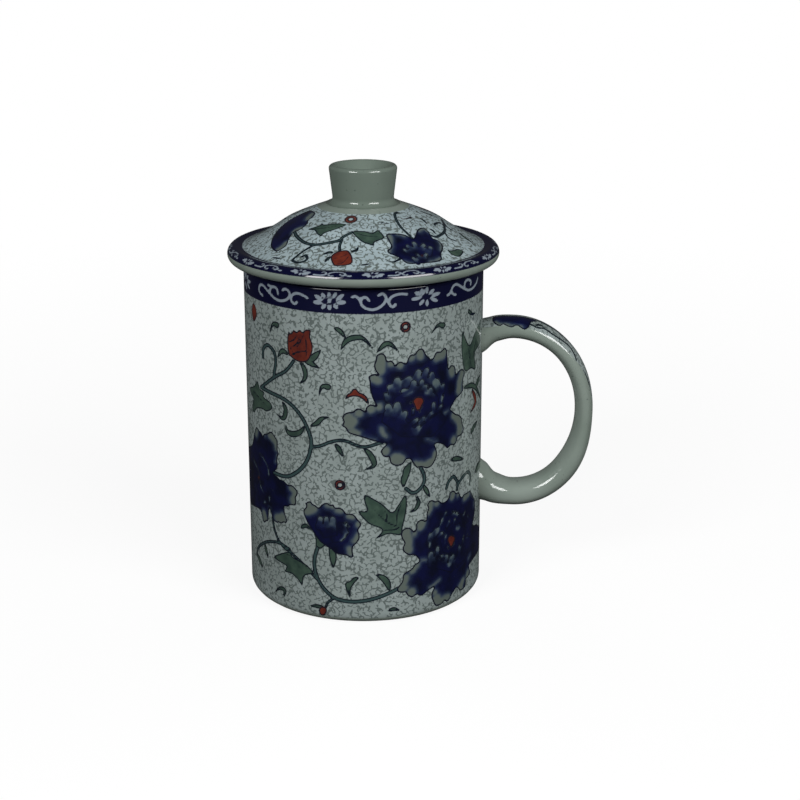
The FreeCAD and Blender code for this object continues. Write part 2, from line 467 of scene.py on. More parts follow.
CELADON = tint(121, 131, 124)
CELADON_DEEP = tint(110, 121, 113)
# The knob's celadon is a darker copy of the same glaze: painted shade on the knob
KNOB_CELADON_SHADED = tint(98, 109, 101)
KNOB_CELADON_SHADED_DEEP = tint(90, 101, 93)
GROUND = tint(131, 141, 140)
GROUND_SHADE = tint(123, 133, 131)
# The lid's ground is a lighter, bluer copy of the wall's ground: painted light and a painted sheen where the
# lid's top faces the lamps
LID_GROUND_LIT = tint(147, 162, 166)
LID_GROUND_LIT_SHADE = tint(137, 152, 156)
WORM = tint(84, 93, 91)
NAVY = tint(8, 12, 46)
NAVY_DEEP = tint(5, 8, 26)
BAND_NAVY = tint(5, 7, 36)
SCROLL = tint(118, 128, 137)
PETAL_PALE = tint(82, 91, 86)
TIP_PALE = tint(78, 90, 91)
PETAL_BLUE = tint(52, 68, 92)
LEAF = tint(56, 74, 64)
LEAF_DEEP = tint(40, 56, 50)
VINE = tint(46, 64, 64)
INK = tint(10, 18, 28)
RED = tint(96, 40, 28)
RED_DEEP = tint(72, 28, 23)
BISCUIT = tint(176, 168, 152)
FLOOR_PALE = tint(244, 244, 244)
FLOOR_DARK = tint(30, 30, 30)


class Glaze:
    """A material, with short names for the nodes that glazes are made of."""

    def __init__(self, name):
        self.material = bpy.data.materials.new(name)
        self.material.use_nodes = True
        self.tree = self.material.node_tree
        self.surface = self.tree.nodes["Principled BSDF"]
        self.place = self.tree.nodes.new("ShaderNodeTexCoord").outputs["Object"]

    def put(self, value, socket):
        if isinstance(value, bpy.types.NodeSocket):
            self.tree.links.new(value, socket)
        else:
            socket.default_value = value

    def math(self, operation, *values):
        node = self.tree.nodes.new("ShaderNodeMath")
        node.operation = operation
        for value, socket in zip(values, node.inputs):
            self.put(value, socket)
        return node.outputs[0]

    def field(self, layer):
        node = self.tree.nodes.new("ShaderNodeAttribute")
        node.attribute_name = layer
        return node.outputs["Fac"]

    def ramp(self, value, low, high, to_low=0.0, to_high=1.0, smooth=False):
        node = self.tree.nodes.new("ShaderNodeMapRange")
        node.interpolation_type = "SMOOTHSTEP" if smooth else "LINEAR"
        for number, socket in zip((value, low, high, to_low, to_high), node.inputs):
            self.put(number, socket)
        return node.outputs[0]

    def mix(self, share, start, finish):
        node = self.tree.nodes.new("ShaderNodeMix")
        node.data_type = "RGBA"
        self.put(share, node.inputs[0])
        self.put(start, node.inputs[6])
        self.put(finish, node.inputs[7])
        return node.outputs[2]

    def noise(self, scale, detail=2.0, offset=0.0):
        place = self.tree.nodes.new("ShaderNodeMapping")
        self.put(self.place, place.inputs["Vector"])
        place.inputs["Location"].default_value = (offset, offset, offset)
        node = self.tree.nodes.new("ShaderNodeTexNoise")
        self.put(place.outputs[0], node.inputs["Vector"])
        node.inputs["Scale"].default_value = scale
        node.inputs["Detail"].default_value = detail
        return node.outputs[0]

    def cell_edge(self, scale, waver=0.0009):
        """Distance to the nearest edge of wavering cells, in cells."""
        wander = self.tree.nodes.new("ShaderNodeTexNoise")
        self.put(self.place, wander.inputs["Vector"])
        wander.inputs["Scale"].default_value = scale * 0.8
        node = self.tree.nodes.new("ShaderNodeTexVoronoi")
        node.feature = "DISTANCE_TO_EDGE"
        node.inputs["Scale"].default_value = scale
        shift = self.tree.nodes.new("ShaderNodeVectorMath")
        shift.operation = "MULTIPLY_ADD"
        self.put(wander.outputs["Color"], shift.inputs[0])
        shift.inputs[1].default_value = (2 * waver, 2 * waver, 2 * waver)
        self.put(self.place, shift.inputs[2])
        self.put(shift.outputs[0], node.inputs["Vector"])
        return node.outputs["Distance"]

    def height(self):
        node = self.tree.nodes.new("ShaderNodeSeparateXYZ")
        self.put(self.place, node.inputs[0])
        return node.outputs[2]

    def inside(self, field, inset=0.0, blur=0.09):
        """1 where a field is deeper inside its shape than the inset."""
        return self.ramp(field, blur - inset, -blur - inset)

    def edge(self, field, width):
        """1 in a strip just inside a shape's outline."""
        return self.math("SUBTRACT", self.inside(field), self.inside(field, width))

    def finish(self, colour, rough_low, rough_high, wave=0.012):
        """Joins the colour to the shader, with the unevenness of a fired glaze."""
        self.put(colour, self.surface.inputs["Base Color"])
        self.put(self.ramp(self.noise(260, 3), 0.3, 0.7, rough_low, rough_high),
                 self.surface.inputs["Roughness"])
        bump = self.tree.nodes.new("ShaderNodeBump")
        bump.inputs["Strength"].default_value = wave
        bump.inputs["Distance"].default_value = MM
        self.put(self.noise(110, 1), bump.inputs["Height"])
        self.put(bump.outputs[0], self.surface.inputs["Normal"])
        return self.material


def plain_colour(glaze, main, pool):
    """Celadon with faint pooling and the odd iron speck."""
    colour = glaze.mix(glaze.ramp(glaze.noise(45, 3), 0.35, 0.65), main, pool)
    speck = glaze.ramp(glaze.noise(900, 0, 3.0), 0.79, 0.83, 0.0, 0.35)
    return glaze.mix(speck, colour, INK)


def plain_glaze(name, main, pool):
    glaze = Glaze(name)
    return glaze.finish(plain_colour(glaze, main, pool), 0.07, 0.14)


def worm_ground(glaze, ground, shade):
    """Pale ground scattered with short curling strokes."""
    pale = glaze.mix(glaze.ramp(glaze.noise(120, 2), 0.35, 0.65), ground, shade)
    line = glaze.ramp(glaze.cell_edge(600), 0.16, 0.07)
    broken = glaze.ramp(glaze.noise(800, 0, 7.0), 0.42, 0.48)
    return glaze.mix(glaze.math("MULTIPLY", line, broken), pale, WORM)


def petals(glaze, under, row):
    """One row of petals: navy that pales softly to the margins and tips, with a dark outline."""
    field = glaze.field("petal_%d" % row)
    deep = glaze.mix(glaze.ramp(glaze.noise(180, 2, 9.0), 0.4, 0.65), NAVY, NAVY_DEEP)
    unsteady = glaze.ramp(glaze.noise(330, 1, 5.0), 0.3, 0.7, -0.25, 0.25)
    fade = 2.5 if row == 0 else 1.0
    near = glaze.ramp(glaze.math("ADD", glaze.field("pale_%d" % row), unsteady), fade, -0.2)
    if row > 0:
        near = glaze.math("MULTIPLY", near, glaze.ramp(field, -2.6, -1.4))
    colour = glaze.mix(glaze.math("POWER", near, 1.8), deep, PETAL_BLUE)
    pale, outline = (PETAL_PALE, 0.48) if row == 0 else (TIP_PALE, 0.3)
    colour = glaze.mix(glaze.ramp(near, 0.45, 1.0, smooth=True), colour, pale)
    colour = glaze.mix(glaze.edge(field, outline), colour, NAVY_DEEP)
    return glaze.mix(glaze.inside(field), under, colour)


def drawn(glaze, under, layer, fill, shade, outline=0.42):
    """A filled shape with a dark outline."""
    field = glaze.field(layer)
    colour = glaze.mix(glaze.ramp(glaze.noise(300, 2, 2.0), 0.35, 0.65), fill, shade)
    colour = glaze.mix(glaze.edge(field, outline), colour, INK)
    return glaze.mix(glaze.inside(field), under, colour)


def printed_glaze(name, ground, shade):
    glaze = Glaze(name)
    colour = glaze.mix(glaze.inside(glaze.field("decal")), plain_colour(glaze, CELADON, CELADON_DEEP),
                       worm_ground(glaze, ground, shade))
    colour = drawn(glaze, colour, "vine", VINE, VINE, 0.38)
    colour = drawn(glaze, colour, "leaf", LEAF, LEAF_DEEP)
    for row in range(ROWS):
        colour = petals(glaze, colour, row)
    colour = drawn(glaze, colour, "red", RED, RED_DEEP)
    colour = glaze.mix(glaze.inside(glaze.field("ink")), colour, INK)
    colour = glaze.mix(glaze.inside(glaze.field("band")), colour, BAND_NAVY)
    colour = glaze.mix(glaze.inside(glaze.field("scroll")), colour, SCROLL)
    bare = glaze.ramp(glaze.height(), 0.5 * MM, 0.2 * MM)
    colour = glaze.mix(bare, colour, BISCUIT)
    return glaze.finish(colour, 0.07, 0.14)


# The print, drawn in points of the photograph. Half widths and radii are in its pixels too.
pixel = 0.32

# Each bloom: its outline, its pale margins, up to three inner rows, each over the one before it, and a heart.
# A margin is a stroke of (x, y, half width). A row has rounded tips, thin strokes and the points that close it
# among dark petals. A tip is (x, y, half width), and after it the place that it points to, where that isn't the
# row's middle.
BIG_PEONY = {
    "outline": (
        (381, 353), (384.1, 354), (386.3, 357), (387.3, 360.9), (391.2, 360.4), (394.1, 362.7),
        (395.3, 365.5), (397.3, 362.9), (400.9, 361.4), (404, 362.7), (406.2, 363.2), (408.1, 358.1),
        (410.6, 354.5), (414.9, 354), (416.7, 350.9), (419.8, 348.4), (423.1, 348.9), (424.9, 351.9),
        (426.4, 355), (429.5, 357.6), (431, 359.4), (433.6, 357.1), (436.1, 351.9), (440.7, 351.4),
        (443.1, 348.6), (445.3, 347.8), (447.1, 350.4), (447.3, 356.5), (448, 363.7), (448.7, 368.3),
        (450.4, 365.7), (453.5, 365), (455.5, 368.3), (456.2, 373.9), (458.6, 370.8), (461.6, 368.8),
        (464.2, 370.3), (464.7, 373.9), (463.2, 379), (463, 385.1), (463.2, 390.2), (460.6, 394.3),
        (456.5, 398.4), (454, 402.4), (450.6, 408.4), (451.9, 410.6), (455.5, 413.5), (459.1, 414.7),
        (461.6, 417.8), (462.3, 422.9), (463.9, 428), (463.2, 432), (460.6, 435.6), (457.6, 437.1),
        (456.5, 442.2), (454, 445.3), (450.6, 445.3), (447.3, 448.4), (443.3, 444.8), (438.2, 443.3),
        (434.8, 444.5), (436.1, 448.4), (437.1, 453.5), (435.6, 459.6), (432, 465.7), (426.9, 468.5),
        (421.3, 467.2), (416.7, 468), (413.2, 463.7), (410.1, 459.4), (406, 459.8), (404.5, 462.7),
        (400.4, 465.7), (394.3, 465.7), (390.2, 462.7), (388.7, 457), (385.6, 457.6), (382, 455),
        (381, 450.4), (384.1, 446.3), (386.6, 443.3), (382, 443.3), (375.9, 441.7), (368.8, 439.7),
        (360.6, 437.1), (353.5, 435.1), (348.4, 433.1), (346.6, 430.5), (345.3, 428.2), (342, 425.9),
        (343.3, 421.8), (342, 417.8), (344.3, 413.7), (348.4, 412.1), (353, 411.6), (355.5, 409.1),
        (359.6, 408.4), (363.7, 410.6), (365.7, 411.6), (365.4, 408.6), (367.8, 405.5), (370.8, 404.3),
        (373.9, 405), (376.1, 405.7), (373.4, 400.4), (370.8, 393.3), (369.8, 387.1), (369.3, 381),
        (368.1, 377.1), (370.8, 374.9), (374.9, 373.9), (378.2, 374.9), (374.9, 370.3), (373.9, 364.7),
        (375.4, 360.6), (376.4, 355.5),
    ),
    "pale": (
        ((381.5, 355.7, 3.1), (380.5, 363.7, 3.9), (379.2, 370.8, 3.5)), ((373.9, 377.8, 3.1),
        (378, 380.2, 2)), ((391.2, 363.2, 2.4),), ((400.4, 364.2, 2.4),), ((420.3, 351.9, 2.7),
        (420.8, 355.5, 2.4)), ((411.6, 357.8, 1.6),), ((444.8, 350.4, 1.6), (442.2, 354.5, 2.4),
        (437.1, 357, 2.7)), ((451.9, 369, 2.7), (451.9, 373.9, 1.4)), ((461.6, 372.9, 2.4),
        (460.1, 381, 2.4), (459.1, 390.2, 2.2)), ((454, 415.2, 2), (458.1, 418.8, 2.7), (460.1, 426.9, 2.9),
        (459.1, 433.1, 2.2)), ((453.7, 440.2, 2.7),), ((415.7, 465.2, 2.4), (421.8, 465.2, 2.2),
        (428, 464.7, 2.7), (434.1, 459.6, 1.8), (435.1, 452.4, 1)), ((395.3, 459.6, 4.9),
        (400.4, 459.6, 3.5)), ((384.6, 451.9, 3.1),), ((347.9, 418.8, 4.5), (348.4, 424.9, 4.5),
        (351.9, 421.8, 3.5)), ((359.1, 412.4, 2.9),), ((352.7, 432.6, 2.9), (357.6, 433.6, 1.4)),
        ((370.8, 408.4, 2.9),), ((379, 407, 1.6),), ((381.4, 428.4, -0.2), (383, 433.6, 0.2),
        (386.6, 437, -0.8)), ((363.7, 437.3, -1.5), (374.9, 440.2, -1.5)), ((448.9, 410.1, -1.5),
        (444.3, 413.2, -1.5)), ((426.9, 439, -1.5), (436.1, 442.4, -1.5)),
    ),
    "rows": (
        (
            ((385.6, 394.3, 2, 387.1, 399.4), (389.7, 387.1, 2.7, 391.2, 391.2),
            (397.3, 381, 3.5, 395.3, 386.1), (409.1, 379.2, 3.1, 403.5, 383.1),
            (418.3, 372.9, 3.5, 416.7, 376.9), (426.4, 370.8, 3.1, 424.9, 374.9),
            (432, 374.9, 3.1, 433.1, 379), (436.6, 382, 3.3, 438.2, 386.1), (443.3, 385.1, 2, 443.3, 391.2)),
            (((443.1, 396.3, 1.4), (442.2, 400.4, 0.8)),),
            ((443.8, 407.6), (432, 421.8), (411.6, 425.9), (385.6, 409.6), (387.1, 395.3), (396.3, 387.1),
            (403.5, 383.1), (418.8, 375.9), (432, 378), (441.2, 387.1)),
        ),
        (
            ((410.6, 394.1, 2.4, 406, 392), (413.7, 383.3, 3.3, 413.2, 387.1),
            (421.8, 381.7, 2.6, 421.8, 385.6), (425.9, 386.3, 2.2, 424.4, 390.2),
            (430.5, 389.9, 2.7, 430.5, 393.3)),
            (((408.1, 388.7, 0.8), (399.4, 391.7, 0.6)), ((425.4, 393.8, 1.1), (424.1, 401.9, 0.9))),
            ((401.4, 393.3), (395.3, 396.3), (391.7, 402.4), (396.3, 410.6), (411.6, 421.8), (428, 421.8),
            (439.7, 409.6), (438.2, 395.3), (432, 391.2), (421.8, 385.1), (413.7, 386.1)),
        ),
        (
            ((388.2, 407.2, 3.5, 389.7, 411.6), (397.3, 405.7, 3.6, 398.2, 410.6),
            (405, 413.4, 2.8, 403.7, 416.7), (416.7, 419.8, 2.2, 412.4, 423.1),
            (418.4, 427.4, 2.2, 415.9, 429.8), (423.7, 417.8, 2, 421.3, 421),
            (430.5, 413.9, 2.2, 428.5, 416.9), (433.6, 404.2, 2.4, 433.6, 409.6),
            (441.2, 406, 2, 438.4, 409.8), (413.2, 409.1, 1.6)),
            (((410.9, 402.7, 1.5),), ((421.5, 407.2, 1.4),), ((419.8, 411.6, 1.3),)),
            ((384.1, 410.6), (391.2, 414.7), (405.5, 419.8), (416.7, 430), (428, 419.8), (441.2, 410.6),
            (447.3, 419.8), (432, 437.1), (401.4, 437.1), (381, 421.8)),
        ),
    ),
    "heart": (
        (412.4, 401.2), (415.8, 397.2), (421.8, 397), (424.2, 401.2), (422.2, 405.4), (420, 410.2),
        (416.4, 410.4), (414.4, 405.4),
    ),
}
LOW_PEONY = {
    "outline": (
        (426.5, 516.9), (426.5, 512.9), (428.1, 508.9), (427.1, 504.9), (429.3, 500.9), (432.5, 500),
        (435.7, 501.2), (438.4, 500), (440.8, 502), (442.8, 502.3), (445.2, 501.7), (447.6, 499),
        (449.2, 497), (449.2, 493.8), (451.6, 490.8), (454.4, 490.8), (456.4, 493), (458.8, 492),
        (461.3, 497), (464.4, 493.8), (467.5, 492.2), (469.9, 490.4), (471.7, 493), (473.5, 497),
        (474.7, 500.9), (474.9, 508.9), (474.1, 516.9), (472.6, 523.3), (474.1, 525.1), (476.3, 524.1),
        (478.7, 525.7), (480.1, 529.6), (480.1, 536.8), (479.5, 544.8), (477.9, 551.2), (474.7, 556.7),
        (471.5, 561.5), (469, 565.5), (469.5, 568.7), (470.1, 572.7), (467.9, 576.7), (466, 579.1),
        (465.6, 583.9), (464.4, 587.8), (460.4, 590.8), (458, 588.6), (456.2, 587.7), (454, 591),
        (451.6, 595), (449.2, 599.8), (446.8, 601.9), (444.4, 600.6), (442, 603.8), (438, 605.9),
        (434.9, 605.4), (432.5, 600.6), (431.1, 595.8), (432.5, 591), (433.7, 587), (426.9, 591.8),
        (422.1, 595.6), (418.9, 595.6), (416.5, 594.6), (413.3, 597.2), (410.1, 597.2), (407, 595),
        (405.4, 592.6), (401.4, 592.8), (398, 592.2), (396.8, 588.6), (399.8, 584.6), (402.2, 580.7),
        (402.8, 575.1), (406.2, 571.9), (411.7, 568.7), (414.1, 564.7), (419.2, 561.1), (416.5, 556.7),
        (412.5, 555.2), (408.6, 555.3), (403.8, 552), (402.4, 548), (404.3, 543.2), (402, 539.2),
        (400.8, 534.4), (401.8, 530.8), (404.6, 528.4), (408.6, 527.5), (411.7, 528.8), (414.4, 531.4),
        (416, 528), (416, 524.1), (418.9, 520.5), (422.1, 519.3), (425.6, 520.7),
    ),
    "pale": (
        ((430.1, 503.5, 2.7), (429.3, 508.1, 2.1), (428.1, 512.9, 1)), ((436.9, 502.9, 1.9),),
        ((453.2, 493.9, 2.2), (452.4, 497, 1.1)), ((458, 494.6, 1.1),), ((464.4, 497.8, 1.1),
        (468.3, 494.6, 1.6)), ((473.5, 501.7, -1.5), (473.5, 505.7, -1.5)), ((421.3, 523.4, 3.5),
        (419.7, 527.3, 1.8)), ((406.2, 532, 3.5), (407, 537.6, 3.5), (407, 544, 3.7), (407.8, 549.6, 3.3)),
        ((414.5, 533, 1.3),), ((406.2, 577.5, 1.9), (403.8, 583.1, 2.6), (401, 588.6, 2.6),
        (405, 587.8, 1.8)), ((411.7, 571.1, 1.1), (417.3, 564.7, 0.8)), ((411.3, 592.8, 3),),
        ((436.5, 599, 3.5), (439.6, 601.4, 2.9), (447.6, 597.4, 1.8)), ((434.9, 592.6, 1.1),),
        ((460.4, 587, 2.9), (462.8, 580.7, 1.3)), ((467.9, 571.9, 1.1), (467.1, 575.9, 0.7)),
        ((429.3, 587.8, -1.5), (439.6, 579.9, -1.5)), ((468.3, 559.1, -1.5), (469.9, 555.2, -1.5)),
        ((421.3, 559.9, -1.5), (426.1, 560.3, -1.5)),
    ),
    "rows": (
        (
            ((446, 512.7, 1.7, 444.4, 516.1), (436.5, 529.8, 2.2, 434.1, 532.8),
            (430.1, 534.6, 2, 429.4, 537.6)),
            (((442, 519.4, 1.5), (440.6, 523.3, 1.2)), ((429.3, 544, 1.1), (428.9, 548, 1)),
            ((464.8, 511.9, 1.5), (463.7, 514.5, 0.9)), ((452.4, 511.5, 1), (458, 513.1, 1.4)),
            ((468.3, 514.3, 1),)),
            ((472.7, 518.5), (471.5, 540.8), (455.6, 556.7), (431.7, 554.4), (428.3, 540.8), (434.9, 532.8),
            (440.4, 522.5), (446, 515.3), (454, 512.5), (466.7, 514.5)),
        ),
        (
            ((449.2, 521.4, 1.8, 446.8, 526.5), (454.8, 519.4, 1.8, 454.2, 521.7),
            (457.2, 529, 1.6, 458.8, 524.9), (442, 533, 2, 440.4, 534.6)),
            (((446, 536.8, 0.8), (446, 541.6, 0.6)), ((456, 536.8, 0.8), (455.6, 539.2, 0.6))),
            ((466.7, 526.5), (463.6, 542.4), (455.6, 555.2), (442.8, 552.8), (439.6, 540.8), (446, 530.4),
            (450.8, 523.3), (458.8, 524.9)),
        ),
        (
            ((430.9, 554.5, 3.1, 430.9, 557.1), (437.6, 548.1, 2.3, 437.3, 552.8), (441.2, 556.1, 1.7),
            (446.8, 556.9, 2.3, 446.2, 559.1), (453, 556.5, 2.6, 452.4, 559.1), (449.2, 563.9, 1.9),
            (459.2, 546.5, 1.9, 458.8, 551.2)),
            (((463.6, 535.4, 1.3), (462.8, 540, 1.4)), ((467.7, 533.8, 1), (467.1, 536.8, 0.6)),
            ((454.2, 543.2, 1), (452.6, 546.2, 0.7)), ((447.6, 546, 0.9), (448.6, 548.9, 1))),
            ((427.8, 557.1), (436.5, 556), (444.4, 561.5), (450, 563.5), (455.6, 558.3), (458.8, 549.6),
            (465.2, 536), (471.5, 536), (466.7, 556.7), (450.8, 572.7), (433.3, 567.9)),
        ),
    ),
    "heart": (
        (447.6, 538.3), (450.4, 535.2), (454.2, 535.8), (455.4, 539.2), (453.6, 543), (451.6, 548),
        (449.4, 545.4), (447.8, 541.6),
    ),
}
LEFT_PEONY = {
    "outline": (
        (252, 445), (253.4, 438.5), (255.1, 430.2), (256.6, 426.8), (259, 430.2), (261.9, 433.7),
        (262.4, 437.6), (263.6, 433.9), (266.8, 433.4), (270.5, 431.4), (272.6, 432.9), (275.8, 437.6),
        (277.6, 442.2), (277.6, 449.6), (278.8, 454.2), (277.2, 458.8), (277.6, 466.2), (275.8, 470.4),
        (273, 472.9), (277, 476.6), (279.8, 479.2), (283.5, 480.6), (288.1, 484.7), (291.8, 485),
        (295.7, 488.4), (298, 493.1), (295.9, 497.7), (296.4, 502.3), (295.2, 505.7), (290.9, 505.1),
        (288.1, 506.6), (284.4, 506.5), (284.4, 510.6), (285.8, 516.2), (287.3, 521.3), (285.3, 523.3),
        (283.5, 522.5), (281.6, 523.9), (278.8, 522.5), (277, 523), (273.3, 519.9), (271.4, 514.3),
        (269.4, 507.8), (268.7, 515.2), (268.2, 520.8), (266.4, 521.3), (264.5, 522.9), (262.7, 518.9),
        (261.3, 512.5), (259, 508.8), (253.9, 506), (251.1, 503.2), (248.8, 497.7), (247.8, 490.3),
        (248, 483.8), (246.1, 476.4), (245.5, 469.9), (246.7, 463.5), (245.9, 457), (247, 449.6),
        (249.2, 445.9),
    ),
    "pale": (
        ((256.6, 430.4, 1.4), (256.2, 433.9, 1)), ((269.6, 434.1, 2), (273, 437.8, 2.4),
        (275.3, 442.2, 1.8), (276.5, 448.7, 0.9)), ((264.8, 435.4, -1.5),), ((277.2, 455.1, -1.5),
        (275.8, 461.6, -1.5)), ((291.3, 488.4, 1.8), (295.5, 493.1, 2.1), (293.6, 499.5, 2.5),
        (294.1, 503.2, 1.9)), ((282.5, 518, 3.5), (277, 518, 2.2), (284.4, 521.5, 1.7)), ((265, 518.9, 2.1),
        (264.2, 513.4, 1.7)), ((269.7, 512.5, -1.5), (269.8, 508.8, -1.5)), ((246.5, 469.9, -1.5),
        (246.9, 477.3, -1.5)), ((247.4, 450.5, -1.5), (246.8, 457, -1.5)), ((248.5, 494, -1.5),
        (250.2, 500.5, -1.5)),
    ),
    "rows": (
        (
            (),
            (((259.4, 452.8, 0.6), (263.1, 457, 0.6), (266.4, 462.5, 0.6), (268.7, 469, 0.7),
            (269, 473.6, 0.6)), ((261.7, 446.8, 0.4), (261.8, 450.7, 0.4))),
            ((270.1, 475.5), (267.7, 481), (260.3, 471.8), (258.5, 458.8), (259, 453.3), (263.1, 456.5),
            (266.8, 463)),
        ),
        (
            (),
            (((253.4, 457.9, 0.6), (256.2, 464.4, 0.6), (258.5, 469.9, 0.7), (259.4, 474.6, 0.6)),
            ((255.3, 483.8, 0.5), (257.1, 491.2, 0.5))),
            ((259.9, 477.3), (257.6, 484.7), (252.9, 479.2), (251.8, 466.2), (252.9, 457.9), (256.2, 463.9)),
        ),
        (
            (),
            (((259.9, 481, 0.9), (260.8, 485.7, 1), (263.1, 490.7, 0.7)), ((270.2, 496.8, 1.1),
            (269.8, 500.6, 0.7)), ((265, 502, 1.1), (264.2, 503.2, 0.6)), ((271.9, 488.4, 0.5),
            (274.4, 494, 0.4))),
            ((260.3, 482.9), (263.1, 490.3), (270.5, 496.8), (270.1, 503.2), (262.2, 504.6), (258, 494)),
        ),
    ),
    "heart": (
        (257.6, 476.6), (259, 475.5), (260, 477.8), (258.7, 480.3),
    ),
}
BUD_PEONY = {
    "outline": (
        (303.6, 509.7), (306.3, 506.2), (305, 503.7), (308, 501.4), (310.7, 501.2), (312.6, 503.7),
        (315.8, 505.5), (318.8, 507.6), (321.4, 504.6), (324.2, 503.2), (326.9, 502.6), (330.2, 504.8),
        (333.4, 504.4), (335.2, 507.4), (338.9, 507.7), (342.2, 508.6), (344.5, 511.1), (346.3, 513.6),
        (350, 513.4), (354.7, 515.2), (357.4, 518.9), (360.2, 521.7), (361.3, 525.4), (358.4, 530),
        (359.5, 533.7), (359.5, 539.3), (355.6, 544.4), (353.3, 546.7), (352.8, 551.3), (353.5, 556.9),
        (350, 558), (346.3, 555.5), (339.9, 554.5), (335.2, 553.2), (331.5, 549.5), (326.9, 546.7),
        (320.5, 542.1), (316.8, 537.4), (313.1, 531.9), (308.4, 524.5), (305.2, 518), (303.6, 513.4),
    ),
    "pale": (
        ((308.9, 504.2, 2), (308.4, 508.8, 3.1), (314, 508.8, 2.2), (306.1, 511.5, 1.5)),
        ((326.9, 504.8, 1.1), (333.4, 506.6, 1.3)), ((340.8, 510.3, 1.3), (337.1, 509.9, 0.7)),
        ((352.4, 516.8, 1.8), (349.1, 515.9, 0.9)), ((358.8, 524.5, 1.3),), ((357.9, 534.7, 0.9),
        (355.6, 541.1, 1.8)), ((351, 553.2, 1.8), (350, 549.5, 1.1)),
    ),
    "rows": (
        (
            ((347.7, 532.4, 1.7, 344.5, 529.6),),
            (((346.3, 522.6, 1.3), (347.3, 525.6, 0.9)), ((349.6, 526.5, 1.1),), ((346.3, 534.7, 1.5),
            (344, 538.4, 1.1), (341.7, 541, 0.7))),
            ((342.2, 541.9), (332.5, 543), (328.8, 531), (339.9, 520.8), (346.3, 524.5), (348.2, 531)),
        ),
        (
            ((320.5, 518.9, 2.7, 319.7, 521.9), (326.5, 518.7, 2.5, 326.5, 521.9),
            (332.9, 519.6, 3.1, 332.5, 522.8)),
            (),
            ((336.2, 522.2), (338, 535.6), (323.2, 538.4), (317.2, 523.6)),
        ),
    ),
}
LID_PEONY = {
    "outline": (
        (386.3, 234.5), (396.5, 233.5), (405.9, 235.2), (413.4, 238.5), (417.4, 229.7), (422.8, 227.7),
        (428.9, 231.8), (432.3, 237.9), (438.4, 240.6), (442.4, 244.6), (443.1, 250), (441.1, 254.1),
        (441.8, 260.2), (431.6, 262.9), (411.3, 264.2), (404.6, 262.2), (400.5, 258.8), (393.7, 255.4),
        (389.7, 254.1), (387, 250.7), (391, 246.7), (388.3, 240.6),
    ),
    "pale": (
        ((388.5, 235.4, 0.3), (391, 240, -0.4), (390.4, 247, -0.2), (388.4, 251.2, 0.2)),
        ((397, 233.8, -0.6), (404, 235.6, -0.6)), ((418.4, 230.6, -0.2), (423, 228.4, 0.2),
        (428, 231.6, -0.4)), ((439, 241, -0.2), (442, 246, 0.2), (442, 251, -0.4)), ((441, 259.4, 0),
        (431, 262.4, -0.6)), ((412, 264, -0.8), (404.8, 261.8, -0.8)),
    ),
    "rows": (
        (
            ((404.6, 250, 1.8, 407, 252), (408, 246.4, 2.2), (414.5, 243.8, 2.4), (424, 245.2, 2),
            (430.6, 247.8, 2.2, 430, 251)),
            (),
            ((430, 256), (410, 257), (406, 250), (415, 246), (428, 248)),
        ),
        (
            ((413.6, 258.4, 2, 415, 260), (418.1, 255, 1.8), (426.4, 254.4, 1.8)),
            (),
            ((428, 260), (416, 261.5), (415, 257), (427, 256)),
        ),
    ),
    "heart": (
        (420.6, 255.6), (422.2, 254.8), (424, 255.6), (422.2, 257),
    ),
}
LID_SIDE_BLOOM = {
    "outline": (
        (315, 212.6), (314, 216.2), (308.6, 220.4), (307.6, 224), (300, 230), (294, 232.4), (289.2, 239),
        (286.8, 245), (280.8, 249.8), (275.4, 251.6), (270.5, 245), (276, 232), (288, 221), (302, 213.4),
        (310, 210.6),
    ),
    "pale": (
        ((312, 214, 1.2), (308, 218.6, 1)), ((300, 229, 1), (295, 231, 1)), ((286, 243.6, 1.2),
        (279, 249, 1.4)),
    ),
    "rows": (),
}

